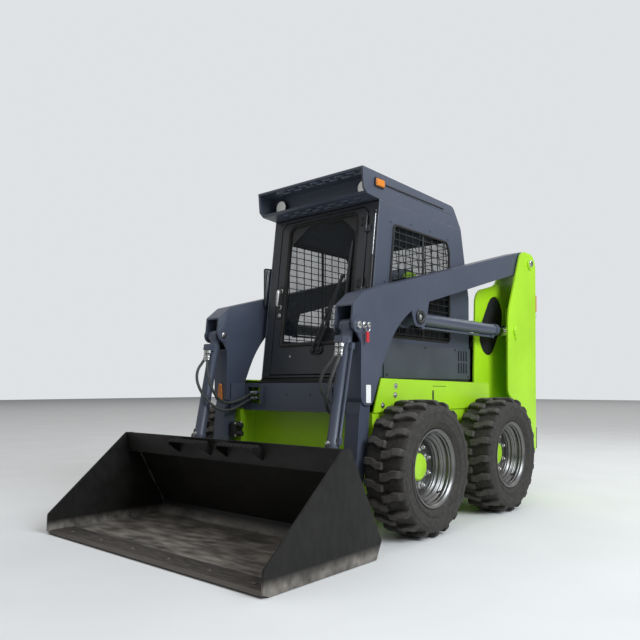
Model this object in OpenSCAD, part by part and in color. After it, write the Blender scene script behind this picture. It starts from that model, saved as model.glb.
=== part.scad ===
// Compact skid-steer loader with a raked glazed cab, twin lift arms and a bucket.
// Millimetres, Z up. The front faces -Y and the machine's left is +X.
// Inside the modules, Y is the station: 0 at the front axle, growing to the rear.

/* [Wheels] */
// Tyre diameter over the lugs
tyre_d = 773; // [740:1:785]
// Tyre section width
tyre_w = 264; // [236:1:268]
// Rim diameter at the bead seat
rim_d = 418; // [390:1:430]
// Distance between the two axles
wheelbase = 1000; // [975:1:1020]
// Gap between the tyres and the chassis sides
tyre_gap = 18; // [16:1:32]
// Wheel nuts on each wheel
nut_count = 8; // [5:1:10]
// Tread lugs along each shoulder of a tyre
lug_count = 20; // [16:1:22]
// Height of the tread lugs
lug_h = 24; // [16:1:28]

/* [Chassis] */
// Height of the belly plate above the ground
belly_z = 200; // [170:1:230]
// Thickness of the chassis plates
frame_plate = 10; // [8:1:12]
// Height of the fender's front edge
fender_z = 894; // [880:1:898]
// Reach of the rear bumper behind the rear axle
rear_overhang = 990; // [985:1:1020]

/* [Cab] */
// Width over the cab's side plates
cab_w = 890; // [860:1:894]
// Height of the roof's front edge
roof_z = 2159; // [2140:1:2190]
// Backward lean of the windscreen, degrees
rake = 7.3; // [6.6:0.1:7.6]
// Distance between the vertical wires of the side screens
mesh_pitch_y = 80; // [60:1:100]
// Distance between the level wires of the side screens
mesh_pitch_z = 46; // [36:1:60]

/* [Boom] */
// Thickness of the lift arm plates
arm_plate = 12; // [10:1:14]
// Radius of the main boom pivot pin
pivot_pin_r = 28; // [24:1:32]
// Radius of the bucket pivot pin
bucket_pin_r = 25; // [20:1:28]

/* [Cylinders] */
// Outer diameter of the lift cylinder barrel
lift_barrel_d = 80; // [74:1:84]
// Diameter of the lift cylinder rod
lift_rod_d = 46; // [36:1:50]
// Outer diameter of the tilt cylinder barrel
tilt_barrel_d = 66; // [60:1:70]
// Diameter of the tilt cylinder rod
tilt_rod_d = 36; // [28:1:40]

/* [Bucket] */
// Width over the bucket's side plates
bucket_w = 1776; // [1700:1:1780]
// Reach of the bucket's lip ahead of the front axle
lip_reach = 1376; // [1360:1:1400]
// Thickness of the bucket's side plates
bucket_side = 12; // [8:1:14]
// Radius of the holes for the bolted cutting edge
edge_hole_r = 9; // [7:0.5:11]

/* [Hidden] */
$fn = 48;

slate = [0.17, 0.20, 0.23];
lime = [0.60, 0.85, 0.16];
black = [0.07, 0.07, 0.08];
steel = [0.62, 0.63, 0.64];
rubber = [0.09, 0.085, 0.08];
rim_grey = [0.52, 0.53, 0.54];
amber = [0.95, 0.55, 0.08];
pane = [0.35, 0.42, 0.45, 0.5];

tyre_r = tyre_d / 2;
rear_reach = wheelbase + rear_overhang;
mid_station = (rear_reach - lip_reach) / 2;
pin_gap = 0.3;

// Wheel places: side (1 = left), station
front_axle = 0;
rear_axle = wheelbase;

// Side view points of the linkage: [station, height]
boom_pivot = [rear_reach - 138, 1834];
lift_arm_pin = [238, 1275];
lift_post_pin = [rear_reach - 413, 1276];
tilt_arm_pin = [-400, 1180];
tilt_rod_pin = [-575, 350];
bucket_pivot = [-450, 180];
lift_length = norm(lift_post_pin - lift_arm_pin);
lift_pin_r = 22;
tilt_pin_r = 20;

// Across the machine, from the cab's side outward
cab_x = cab_w / 2;
bay_x = cab_x + 21;
nose_x = cab_x + 35;
arm_in = cab_x + 43;
cyl_x = cab_x + 105;
frame_x = cab_x + 155;
arm_out = cab_x + 167;
post_out = cab_x + 189;
post_in = bay_x;
post_plate = 12;
wheel_x = frame_x + tyre_gap + tyre_w / 2;

// Cab
cab_sheet = 8;
cab_front_s = -95;
cab_rear_s = wheelbase + 190;
floor_z = 880;
sill_z = 900;
eave_z = roof_z - 163;
eave_s = cab_rear_s - 119;
screen_front = [-95, sill_z];
screen_top = (eave_z - sill_z) / cos(rake) - 8;
window_sill_z = 1160;
door_x = cab_x - 74;
door_gap = 8;
door_hinge_x = door_x - door_gap;
door_hinges = [120, 0.51 * screen_top, screen_top - 147];
seat_x = cab_x - 210;
seat_s = cab_rear_s - 190;

// Chassis
tub_top_z = 700;
tub_front = -245;
tub_rear = cab_rear_s + 100;
wall_front = -125;
rear_hinge = [bay_x - 4, rear_reach - 12];
rear_hinges = [600, 1180];

// Bucket hoses from the cylinder's port to the beam: [off the cylinder's middle, station, height]
hose_r = 9;
hose_upper = [
  [-15, -473, 1074], [-15, -481, 1035], [-26, -497, 997], [-46, -514, 961], [-68, -526, 924], [-85, -530, 884],
  [-94, -520, 843], [-95, -498, 806], [-92, -469, 776], [-88, -433, 754], [-86, -392, 742], [-88, -349, 742],
  [-94, -308, 751], [-106, -272, 766], [-128, -245, 784], [-154, -229, 799], [-180, -222, 806], [-205, -222, 806]
];
hose_lower = [
  [15, -473, 1074], [15, -481, 1035], [19, -503, 1000], [22, -529, 965], [17, -547, 924], [4, -555, 882],
  [-13, -553, 842], [-31, -543, 804], [-50, -526, 769], [-67, -502, 737], [-80, -470, 712], [-87, -430, 696],
  [-88, -387, 692], [-88, -345, 697], [-93, -305, 711], [-105, -271, 730], [-127, -245, 749], [-153, -229, 764],
  [-180, -222, 770], [-205, -222, 770]
];

// Bucket back plane, from its foot upward
back_foot = [-564, 90];
back_top = [-809, 554];
back_up = (back_top - back_foot) / norm(back_top - back_foot);
back_out = [back_up.y, -back_up.x];
bucket_x = bucket_w / 2;
bucket_z = 4;

// A vector of length one
function unit(v) = v / norm(v);

// Points of a corner rounded to radius r between the neighbours a and c
function corner(a, b, c, r, n) =
  r <= 0 ? [b] :
  let (
    u = unit(a - b),
    v = unit(c - b),
    half = acos(u * v) / 2,
    m = b + unit(u + v) * r / sin(half),
    p = b + u * r / tan(half),
    q = b + v * r / tan(half),
    from = atan2(p.y - m.y, p.x - m.x),
    turn = (atan2(q.y - m.y, q.x - m.x) - from + 540) % 360 - 180
  )
  [for (i = [0 : n]) m + r * [cos(from + turn * i / n), sin(from + turn * i / n)]];

// An outline from corners given as [across, up, corner radius]
function soft(pts, n = 6) = [
  for (i = [0 : len(pts) - 1])
    let (
      k = len(pts),
      a = pts[(i + k - 1) % k],
      b = pts[i],
      c = pts[(i + 1) % k]
    )
    each corner([a.x, a.y], [b.x, b.y], [c.x, c.y], b.z, n)
];

// A slot with round ends between two points
function slot(a, b, r, n = 10) =
  let (t = atan2(b.y - a.y, b.x - a.x))
  concat(
    [for (i = [0 : n]) b + r * [cos(t - 90 + 180 * i / n), sin(t - 90 + 180 * i / n)]],
    [for (i = [0 : n]) a + r * [cos(t + 90 + 180 * i / n), sin(t + 90 + 180 * i / n)]]
  );

// A rectangle as an outline
function rect(x0, x1, y0, y1) = [[x0, y0], [x1, y0], [x1, y1], [x0, y1]];

// A point of the bucket's back plane: v along it upward, w off it to the rear
function on_back(v, w) = back_foot + back_up * v + back_out * w;

// Station of the bucket's top flange face at a height
function flange_s(z) = -861 + (558 - z) * 15 / 118;

// A round tube along a list of points
module tube(p, r, sides = 10) {
  k = len(p);
  ref = [0.5, 0.7, 0.5];
  rings = [
    for (i = [0 : k - 1])
      let (
        t = unit(p[min(i + 1, k - 1)] - p[max(i - 1, 0)]),
        u = unit(cross(t, ref)),
        v = cross(t, u)
      )
      for (j = [0 : sides - 1]) p[i] + r * (cos(j * 360 / sides) * u + sin(j * 360 / sides) * v)
  ];
  polyhedron(
    points = rings,
    faces = concat(
      [[for (j = [0 : sides - 1]) j]],
      [
        for (i = [0 : k - 2])
          for (j = [0 : sides - 1])
            [i * sides + j, (i + 1) * sides + j, (i + 1) * sides + (j + 1) % sides, i * sides + (j + 1) % sides]
      ],
      [[for (j = [sides - 1 : -1 : 0]) (k - 1) * sides + j]]
    )
  );
}

// A hose of the left side, or its twin on the right
module hose(route, side) {
  color(black)
    mirror([side > 0 ? 0 : 1, 0, 0]) translate([cyl_x, 0, 0]) tube(route, hose_r);
}

module machine() {
  translate([0, -mid_station, 0]) children();
}

module both_sides() {
  children();
  mirror([1, 0, 0]) children();
}

// A block between two corners
module box(x0, x1, s0, s1, z0, z1) {
  translate([x0, s0, z0]) cube([x1 - x0, s1 - s0, z1 - z0]);
}

// A plate with a side view outline, from x0 to x1
module slab(pts, x0, x1) {
  translate([x0, 0, 0]) rotate([90, 0, 90]) linear_extrude(x1 - x0) polygon(pts);
}

// A plate with a front view outline, from station s0 to s1
module wall(pts, s0, s1) {
  translate([0, s1, 0]) rotate([90, 0, 0]) linear_extrude(s1 - s0) polygon(pts);
}

// A round bar across the machine at a side view point
module bar(x0, x1, p, r) {
  translate([x0, p.x, p.y]) rotate([0, 90, 0]) cylinder(r = r, h = x1 - x0);
}

// Puts a shape built along Z onto the line from a to b in the side view
module along(a, b) {
  turn = atan2(b.y - a.y, b.x - a.x) - 90;
  translate([cyl_x, a.x, a.y]) rotate([turn, 0, 0]) children();
}

// Puts a shape built upright onto the raked windscreen plane
module raked() {
  translate([0, screen_front.x, screen_front.y]) rotate([-rake, 0, 0]) children();
}

// The chassis: a welded tub with the drive cases at its sides and a front wall
module chassis_tub() {
  t = frame_plate;
  z = belly_z;
  x = frame_x;
  color(lime) {
    difference() {
      wall([
        [-x, tub_top_z], [-x, z + 40], [-x + 40, z], [x - 40, z], [x, z + 40], [x, tub_top_z],
        [x - t, tub_top_z], [x - t, z + 44], [x - 44, z + t], [-x + 44, z + t], [-x + t, z + 44],
        [-x + t, tub_top_z]
      ], tub_front, tub_rear);
      box(-nose_x, nose_x, tub_front - 20, wall_front, z - 10, tub_top_z + 10);
    }
    box(-x + t / 2, x - t / 2, wall_front, wall_front + t, z + 42, tub_top_z);
    box(-x + 60, x - 60, wall_front, wall_front + t, z + t / 2, z + 60);
    box(-cab_x + 5, cab_x - 5, wall_front, wall_front + t, tub_top_z - t, floor_z);
    box(-cab_x + 5, cab_x - 5, cab_rear_s - 40, cab_rear_s - 40 + t, z + t / 2, floor_z);
    both_sides() {
      box(nose_x, nose_x + t, tub_front, wall_front + t, z + t / 2, tub_top_z);
      box(nose_x, x - t / 2, tub_front, tub_front + t, z + 42, tub_top_z);
      box(nose_x, x - 60, tub_front, tub_front + t, z + t / 2, z + 60);
      box(bay_x, x - t / 2, tub_rear - t, tub_rear, z + 42, tub_top_z);
    }
    box(-bay_x, bay_x, tub_rear - t, rear_reach - 32, z, z + t);
  }
}

// Green side panels over the wheels, each with its deck
module fenders() {
  drop = 22;
  rear = cab_rear_s - 10;
  z = fender_z;
  color(lime)
    both_sides() {
      slab([
        [-170, z], [rear, z - drop], [rear, z - 122], [rear - 80, tub_top_z], [-243, tub_top_z]
      ], frame_x, frame_x + 8);
      slab([[-168, z - 8], [-168, z], [rear, z - drop], [rear, z - drop - 8]], cab_x + 13, frame_x + 4);
      slab([[-168, tub_top_z], [-168, z - 4], [rear, z - drop - 4], [rear, tub_top_z]], frame_x - 8, frame_x);
    }
}

// Tall plates at the rear that carry the boom, one pair a side
module rear_posts() {
  rear = rear_reach - 15;
  back = rear_reach - 42;
  front = cab_rear_s + 23;
  outer = soft([
    [rear, 330, 20], [rear, 1915, 110], [rear - 285, 1915, 120], [rear - 523, 1400, 420], [rear - 525, 800, 70],
    [rear - 355, 690, 60], [rear - 355, 330, 20]
  ], 10);
  inner = soft([
    [tub_rear + 2, belly_z, 0], [back, belly_z, 0], [back, 1890, 90], [back - 208, 1890, 100],
    [back - 388, 1640, 150], [front + 17, 1560, 120], [front - 17, tub_top_z + 4, 0],
    [tub_rear + 2, tub_top_z + 4, 0]
  ]);
  hole = front + 0.408 * (back - front);
  color(lime) {
    for (z = rear_hinges)
      translate([rear_hinge.x, rear_hinge.y, z - 40]) {
        cylinder(r = 8, h = 39.5);
        cylinder(r = 4, h = 108);
        translate([0, back - rear_hinge.y - 2, 0]) cube([26, rear_hinge.y - back + 10, 39.5]);
      }
    both_sides()
      difference() {
        union() {
          slab(outer, post_out - post_plate, post_out);
          slab(inner, post_in, post_in + post_plate);
          box(post_in + 1, post_out - 1, back - 12, back, 330, 1690);
          box(post_in + 1, post_out - 1, rear - 347, back, 330, 342);
          box(post_in + 1, post_out - 1, rear - 235, rear - 223, 335, 1480);
          box(post_in - 26, post_in + 1, front + 27, back - 12, 1306, 1318);
          bar(post_out - 1, post_out + 12, boom_pivot, 46);
          bar(post_out - 1, post_out + 10, lift_post_pin, 34);
        }
        bar(post_in - 5, post_out + 20, boom_pivot, pivot_pin_r + 0.05);
        slab(slot([hole - 73, 1235], [hole + 47, 1405], 148), post_in - 5, post_in + post_plate + 5);
      }
  }
}

// Pins that the boom turns on
module pivot_pins() {
  color(steel)
    both_sides()
      bar(post_in - 6, post_out + 18, boom_pivot, pivot_pin_r);
}

// Fixed axle tubes with the spindles that carry the wheels
module axle_housings() {
  color(black)
    for (s = [front_axle, rear_axle])
      both_sides() {
        bar(frame_x, frame_x + 14, [s, tyre_r], 95);
        bar(frame_x + 13, wheel_x - 61, [s, tyre_r], 55);
        bar(wheel_x - 62, wheel_x - 14, [s, tyre_r], 30);
      }
}

// The engine as one plain block
module engine_block() {
  color(black) {
    box(-bay_x + 166, bay_x - 166, tub_rear + 50, rear_reach - 150, belly_z + frame_plate, 900);
    box(-bay_x + 246, bay_x - 246, tub_rear + 90, rear_reach - 210, 899, 1080);
  }
}

// Rear bumper with two tie-down holes
module rear_bumper() {
  color(black)
    difference() {
      box(-post_out, post_out, rear_reach - 14, rear_reach, 345, 515);
      both_sides()
        translate([post_out - 234, rear_reach + 5, 430]) rotate([90, 0, 0]) cylinder(r = 20, h = 40);
    }
  color(black)
    both_sides()
      box(post_out - 154, post_out - 14, rear_reach - 42, rear_reach - 13, 360, 500);
}

module cab_floor() {
  color(black) box(-cab_x, cab_x, cab_front_s, cab_rear_s, floor_z, sill_z);
}

// Side view of the side window grown by g: front lower, rear lower, rear upper, front upper
function side_window(g = 0) = soft([
  [110 - g, window_sill_z - g, 30], [eave_s - 177 + g, window_sill_z - g, 30],
  [eave_s - 177 + g, eave_z - 196 + g / 2, 30], [eave_s - 210 + g / 2, eave_z - 130 + g, 20],
  [202 - g, eave_z - 130 + g, 30]
]);

// Side view of the rear wall between two offsets from its outer face
function rear_wall(a, b) = [
  [cab_rear_s - b, sill_z], [cab_rear_s - a, sill_z], [cab_rear_s - a, eave_z - 496], [eave_s - a, eave_z],
  [eave_s - b, eave_z], [cab_rear_s - b, eave_z - 496]
];

// Cab side plates with their windows
module cab_sides() {
  rise = (eave_z - sill_z) * tan(rake);
  color(slate)
    both_sides()
      difference() {
        slab([
          [cab_front_s + 3, sill_z], [cab_rear_s, sill_z], [cab_rear_s, eave_z - 496], [eave_s, eave_z],
          [cab_front_s + 3 + rise, eave_z]
        ], cab_x - cab_sheet, cab_x);
        slab(side_window(), cab_x - 2 * cab_sheet, cab_x + cab_sheet);
      }
}

// Outline of the windscreen door: half width, foot, head
function door_outline(x, v0, v1, cut) =
  [[-x, v0], [x, v0], [x, v1 - cut], [x - cut, v1], [-x + cut, v1], [-x, v1 - cut]];

// Raked frame around the door
module cab_front() {
  x = cab_x - cab_sheet;
  color(slate)
    raked() {
      difference() {
        wall(rect(-x, x, 7, screen_top), 4, 44);
        wall(door_outline(door_x, 20, screen_top - 17, 40), 0, 50);
      }
      for (v = door_hinges)
        translate([door_hinge_x, -8, v - 40]) {
          cylinder(r = 9, h = 39.5);
          cylinder(r = 4, h = 98);
          translate([0, 2, 0]) cube([32, 11, 39.5]);
        }
    }
}

// Rear wall with its window
module cab_rear() {
  x = cab_x - cab_sheet;
  color(slate)
    difference() {
      slab(rear_wall(0, 10), -x, x);
      wall(soft([
        [-x + 107, eave_z - 436, 30], [x - 107, eave_z - 436, 30], [x - 107, eave_z - 66, 30],
        [-x + 107, eave_z - 66, 30]
      ]), eave_s - 60, cab_rear_s + 60);
    }
}

// Hollow roof with an open hood over the windscreen
module cab_roof() {
  front = -124;
  pitch = (cab_w - 190) / 7;
  color(slate)
    difference() {
      slab(soft([
        [front, roof_z, 0], [eave_s - 116, roof_z - 18, 70], [eave_s, eave_z, 0], [45, eave_z, 0],
        [-77, eave_z + 8, 20], [front + 12, eave_z + 35, 0]
      ]), -cab_x, cab_x);
      slab([
        [40, roof_z - 17], [eave_s - 141, roof_z - 32], [eave_s - 21, eave_z - 5], [60, eave_z - 5],
        [40, eave_z + 20]
      ], -cab_x + 14, cab_x - 14);
      slab([
        [front - 20, roof_z - 14], [28, roof_z - 16], [28, eave_z + 12], [front - 20, eave_z + 26]
      ], -cab_x + 14, cab_x - 14);
      both_sides()
        slab([
          [226, roof_z - 75], [eave_s - 152, roof_z - 87], [eave_s - 152, roof_z - 93], [226, roof_z - 81]
        ], cab_x - 3, cab_x + 5);
      for (row = [0, 1])
        for (i = [-3 : 3])
          translate([(i + row * 0.3) * pitch, -50 + row * 38, 0]) {
            translate([0, 0, eave_z - 10]) cube([0.62 * pitch, 22, 40]);
            translate([0, -52, roof_z - 40]) cube([0.62 * pitch, 22, 80]);
          }
    }
}

// Dark covers below the side windows with vent slots
module side_covers() {
  color(black)
    both_sides()
      difference() {
        slab([[80, sill_z], [cab_rear_s - 2, sill_z], [cab_rear_s - 2, 1126], [66, 1126]], cab_x, cab_x + 9);
        for (i = [0 : 3])
          for (row = [0, 1])
            translate([cab_x - 5, cab_rear_s - 186 + i * 38, 944 + row * 88]) cube([25, 20, 72]);
      }
}

// Wire screens set in the side windows
module window_screens() {
  wire = 5;
  color(black)
    both_sides()
      translate([cab_x - 6, 0, 0]) rotate([90, 0, 90]) linear_extrude(wire)
        intersection() {
          polygon(side_window());
          union() {
            for (s = [100 : mesh_pitch_y : eave_s])
              translate([s, window_sill_z - 10]) square([wire, eave_z - window_sill_z]);
            for (z = [window_sill_z + 20 : mesh_pitch_z : eave_z])
              translate([50, z]) square([eave_s, wire]);
            translate([540, window_sill_z - 10]) square([24, eave_z - window_sill_z]);
          }
        }
}

// Panes behind the screens and in the rear wall
module window_glass() {
  grow = 18;
  x = cab_x - cab_sheet - 89;
  color(pane) {
    both_sides()
      slab(side_window(grow), cab_x - cab_sheet - 5, cab_x - cab_sheet);
    intersection() {
      slab(rear_wall(10.4, 15.5), -x, x);
      box(-x, x, eave_s - 60, cab_rear_s, eave_z - 451, eave_z - 51);
    }
  }
}

module seat_base() {
  x = seat_x - 25;
  color(black) {
    box(-x, x, seat_s - 440, seat_s, sill_z, 1080);
    slab([
      [seat_s - 1, sill_z], [seat_s + 40, sill_z], [seat_s + 40, 1300], [seat_s + 7.1, 1300],
      [seat_s - 0.8, 1204]
    ], -x, x);
  }
}

module seat_cushion() {
  color(black)
    slab(soft([
      [seat_s - 500, 1080.3, 20], [seat_s - 15, 1080.3, 20], [seat_s - 15, 1190, 40], [seat_s - 500, 1205, 55]
    ]), -seat_x, seat_x);
}

module seat_back() {
  top = eave_z - 296;
  lean = (top - 1206) * 0.083;
  color(black)
    slab(soft([
      [seat_s - 110, 1206, 40], [seat_s - 1, 1206, 30], [seat_s - 1 + lean, top, 44],
      [seat_s - 96 + lean, top, 44]
    ]), -seat_x + 5, seat_x - 5);
}

// Side consoles, each with a control stick
module controls() {
  x = seat_x + 55;
  color(black)
    both_sides() {
      box(x, x + 110, seat_s - 580, seat_s - 100, sill_z, 1240);
      translate([x + 55, seat_s - 500, 1239]) cylinder(r = 12, h = 120);
      translate([x + 55, seat_s - 500, 1340]) cylinder(r1 = 20, r2 = 26, h = 90);
    }
}

// Round lamps under the roof hood
module work_lamps() {
  color([0.85, 0.86, 0.88])
    both_sides()
      translate([cab_x - 93, 28, roof_z - 83]) rotate([90, 0, 0]) {
        cylinder(r = 44, h = 14);
        translate([0, 0, 13]) cylinder(r = 50, h = 14);
      }
}

// Side marker lamps on the roof and tail lamps on the posts
module marker_lamps() {
  color(amber)
    both_sides() {
      box(cab_x, cab_x + 8, 10, 72, roof_z - 84, roof_z - 54);
      box(post_out - 94, post_out - 14, rear_reach - 42, rear_reach - 20, 1400, 1600);
    }
}

// Mirror on the right front pillar, folded in
module side_mirror() {
  z = sill_z + (screen_top - 500) * cos(rake) - 90;
  color(black) {
    translate([-cab_x - 19, 0, 0]) rotate([0, 0, -15])
      slab(soft([[-40, z, 14], [40, z, 14], [40, z + 265, 14], [-40, z + 265, 14]]), -5, 5);
    box(-cab_x - 16, -cab_x, 2, 26, z + 115, z + 150);
  }
}

// Side view outline of a lift arm: beam, knee and leg plates
function arm_outline() =
  let (s = boom_pivot.x, z = boom_pivot.y)
  soft([
    [s + 82, z - 82, 82], [s + 82, z + 82, 82], [s - 102, z + 82, 150], [-338, 1370, 60], [-433, 1296, 12],
    [-445, 1190, 45], [-362, 1095, 60], [-365, 742, 52], [-262, 742, 45], [-20, 1283, 700],
    [s - 117, z - 82, 120]
  ], 10);

// Space inside the arm, open at the front of the knee for the tilt cylinder
function arm_hollow() =
  let (s = boom_pivot.x - 107, z = boom_pivot.y)
  soft([
    [s, z - 66, 40], [s, z + 64, 40], [-332, 1357, 50], [-424, 1285, 0], [-520, 1285, 0], [-520, 1110, 0],
    [-350, 1090, 20], [-350, 770, 20], [-278, 770, 20], [-30, 1298, 700]
  ], 10);

// Lift arms: two box beams, each with a knee and a leg down to the bucket
module lift_arms() {
  leg = soft([
    [-350, 775, 0], [-365, 700, 40], [-390, 420, 120], [-507, 250, 60], [-507, 123, 56], [-393, 123, 56],
    [-300, 420, 120], [-264, 775, 0]
  ]);
  ear = soft([[130, 1360, 0], [178, 1215, 56], [298, 1215, 56], [352, 1395, 0]]);
  color(slate)
    both_sides()
      difference() {
        union() {
          difference() {
            slab(arm_outline(), arm_in, arm_out);
            slab(arm_hollow(), arm_in + arm_plate, arm_out - arm_plate);
          }
          slab(ear, arm_in, arm_in + arm_plate);
          slab(ear, arm_out - arm_plate, arm_out);
          slab(leg, arm_in + arm_plate + 5, arm_out - arm_plate);
          bar(arm_out - 1, arm_out + 10, tilt_arm_pin, 44);
          bar(arm_in - 10, arm_in + 1, tilt_arm_pin, 40);
        }
        bar(arm_in - 20, arm_out + 20, boom_pivot, pivot_pin_r + pin_gap);
        bar(arm_in - 20, arm_out + 20, lift_arm_pin, lift_pin_r + 0.05);
        bar(arm_in - 20, arm_out + 20, tilt_arm_pin, tilt_pin_r + 0.05);
        bar(arm_in - 20, arm_out + 20, bucket_pivot, bucket_pin_r + 0.05);
        bar(arm_in + arm_plate, arm_out - arm_plate, lift_arm_pin, 52);
      }
}

// Beam that ties the two legs, with a port for the bucket hoses at each end
module cross_beam() {
  x = arm_in;
  color(slate) {
    difference() {
      box(-x, x, -213, -150, 705, 870);
      box(-x + 10, x - 10, -203, -140, 715, 860);
      both_sides()
        box(x - 188, x - 41, -220, -200, 736, 844);
    }
    box(-nose_x + 8, nose_x - 8, -226, -212, 692, 706);
    both_sides()
      slab([[-335, 705], [-335, 870], [-150, 870], [-150, 705]], x - 10, x);
    both_sides() {
      box(x - 196, x - 184, -240, -150, 738, 842);
      for (z = [770, 806])
        bar(x - 188, x - 143.3, [-222, z], hose_r);
    }
  }
}

// Pins through the lift arms
module boom_pins() {
  color(steel)
    both_sides() {
      bar(arm_in - 14, arm_out + 16, tilt_arm_pin, tilt_pin_r);
      bar(arm_in - 6, arm_out + 6, lift_arm_pin, lift_pin_r);
      bar(cyl_x - 72, cyl_x + 77, bucket_pivot, bucket_pin_r);
    }
}

// A barrel built along Z from its eye, with a feed pipe at its side
module barrel(d, length, bore_r, eye_r, eye_w, pin_r, pipe_at) {
  difference() {
    union() {
      cylinder(d = d, h = length);
      translate([0, 0, length - 45]) cylinder(d = d + 12, h = 45);
      translate([-eye_w / 2, 0, 0]) rotate([0, 90, 0]) cylinder(r = eye_r, h = eye_w);
      rotate([0, 0, pipe_at]) {
        translate([d / 2 + 12, 0, 110]) cylinder(r = 8, h = length - 150);
        for (z = [100, length - 70])
          translate([0, -13, z]) cube([d / 2 + 22, 26, 34]);
      }
    }
    translate([0, 0, eye_r + 14]) cylinder(r = bore_r, h = length);
    translate([-eye_w, 0, 0]) rotate([0, 90, 0]) cylinder(r = pin_r + pin_gap, h = 2 * eye_w);
  }
}

// A rod built along Z from its inner end to its eye, which holds its own pin
module rod(d, from, to, eye_r, eye_w, pin_r, pin_w) {
  translate([0, 0, from]) cylinder(d = d, h = to - from);
  translate([-eye_w / 2, 0, to]) rotate([0, 90, 0]) cylinder(r = eye_r, h = eye_w);
  translate([-pin_w / 2, 0, to]) rotate([0, 90, 0]) cylinder(r = pin_r, h = pin_w);
}

module lift_barrels() {
  color(slate)
    both_sides()
      along(lift_arm_pin, lift_post_pin)
        barrel(lift_barrel_d, lift_length - 179, lift_rod_d / 2 + pin_gap, 46, 84, lift_pin_r, 90);
}

module lift_rods() {
  color(steel)
    both_sides()
      along(lift_arm_pin, lift_post_pin)
        rod(lift_rod_d, 0.388 * lift_length, lift_length, 44, 70, lift_pin_r, 126);
}

module tilt_barrels() {
  color(slate)
    both_sides()
      along(tilt_arm_pin, tilt_rod_pin)
        difference() {
          union() {
            barrel(tilt_barrel_d, 690, tilt_rod_d / 2 + pin_gap, 38, 70, tilt_pin_r, 0);
            translate([-30, 20, 72]) cube([60, 46, 38]);
            for (x = [-15, 15])
              translate([x, 50, 109]) cylinder(r = hose_r, h = 8.4);
          }
          translate([0, 0, 52]) cylinder(r = tilt_rod_d / 2 + pin_gap, h = 100);
        }
}

module tilt_rods() {
  color(steel)
    both_sides()
      along(tilt_arm_pin, tilt_rod_pin)
        rod(tilt_rod_d, 290, norm(tilt_rod_pin - tilt_arm_pin), 34, 44, 16, 76);
}

// Bucket: one folded sheet for floor, back and top flange, with two side plates
module bucket_shell() {
  z = bucket_z;
  x = bucket_x - bucket_side;
  lip = -lip_reach;
  color(black) {
    slab([
      [-1215, z], [-606, z], back_foot, back_top, [-861, 558], [-846, 440],
      [-836, 441], [-850, 547], [-813, 546], [-576, 92], [-613, z + 12], [-1215, z + 12]
    ], -x - 1, x + 1);
    both_sides()
      slab(soft([
        [-809, 556, 10], [-861, 558, 20], [lip + 4, 113, 25], [lip, 16, 5], [lip + 36, z, 0], [-606, z, 15],
        [-564, 90, 15]
      ]), x, bucket_x);
  }
}

// Cutting edge along the lip with holes for plough bolts
module cutting_edge() {
  x = bucket_x - bucket_side;
  z = bucket_z;
  color(steel)
    difference() {
      slab([
        [-lip_reach, z + 6], [-lip_reach + 16, z], [-1215, z], [-1215, z + 16], [-lip_reach + 30, z + 16]
      ], -x, x);
      for (share = [0.2, 0.6, 1])
        both_sides()
          translate([share * (x - 126), -1290, -10]) cylinder(r = edge_hole_r, h = 60);
    }
}

// Two serrated treads on the top flange
module bucket_steps() {
  teeth = 9;
  color(black)
    both_sides() {
      slab([[flange_s(538), 538], [-930, 538], [-930, 532], [flange_s(532), 532]], 65, 350);
      for (x = [65, 342])
        slab([[flange_s(536), 536], [-930, 536], [-930, 518], [flange_s(465), 465]], x, x + 8);
      for (i = [0 : teeth - 1])
        wall([[70 + i * 31, 537], [92 + i * 31, 537], [81 + i * 31, 547]], -928, -864);
    }
}

// Quick coupler on the bucket's back, with the ears for the boom and the cylinders
module coupler() {
  ear = soft([
    concat(on_back(40, 0), 0), [-470, 112, 30], [-392, 130, 45], [-392, 225, 40], [-520, 405, 50],
    [-600, 440, 40], concat(on_back(450, 0), 0)
  ]);
  plate = [on_back(20, 0), on_back(20, 16), on_back(500, 16), on_back(500, 0)];
  gap = [on_back(170, -5), on_back(170, 30), on_back(440, 30), on_back(440, -5)];
  window = [on_back(110, -5), on_back(110, 30), on_back(400, 30), on_back(400, -5)];
  color(black)
    difference() {
      union() {
        difference() {
          slab(plate, -cyl_x - 90, cyl_x + 90);
          both_sides() slab(gap, cyl_x - 58, cyl_x + 62);
          slab(window, 250 - cyl_x, cyl_x - 250);
        }
        both_sides() {
          slab(ear, cyl_x - 66, cyl_x - 50);
          slab(ear, cyl_x + 55, cyl_x + 71);
        }
      }
      both_sides()
        bar(cyl_x - 80, cyl_x + 90, bucket_pivot, bucket_pin_r + pin_gap);
    }
}

// Door that holds the windscreen
module door_frame() {
  color(slate)
    raked()
      difference() {
        wall(door_outline(door_hinge_x, 28, screen_top - 25, 36), 2, 34);
        wall(door_outline(door_x - 81, 220, screen_top - 51, 34), 0, 50);
      }
}

module door_glass() {
  color(pane)
    raked()
      wall(door_outline(door_x - 81, 220, screen_top - 51, 34), 12, 18);
}

// Handle, hinge knuckles and wiper of the door
module door_handle() {
  color(steel)
    raked() {
      difference() {
        translate([37 - door_x, -34, 0.46 * screen_top]) cube([22, 36, 78]);
        translate([31 - door_x, -20, 0.46 * screen_top + 16]) cube([40, 30, 46]);
      }
      for (v = door_hinges)
        translate([door_hinge_x, -8, v])
          difference() {
            union() {
              cylinder(r = 9, h = 60);
              translate([-24, 4, 0]) cube([24, 6, 60]);
            }
            translate([0, 0, -1]) cylinder(r = 4 + pin_gap, h = 62);
          }
      translate([20, 2, 190]) rotate([90, 0, 0]) cylinder(r = 17, h = 29);
      translate([20, -20, 190]) rotate([0, 22, 0]) translate([-6, -5, 0]) cube([12, 8, 0.383 * screen_top]);
    }
}

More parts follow.
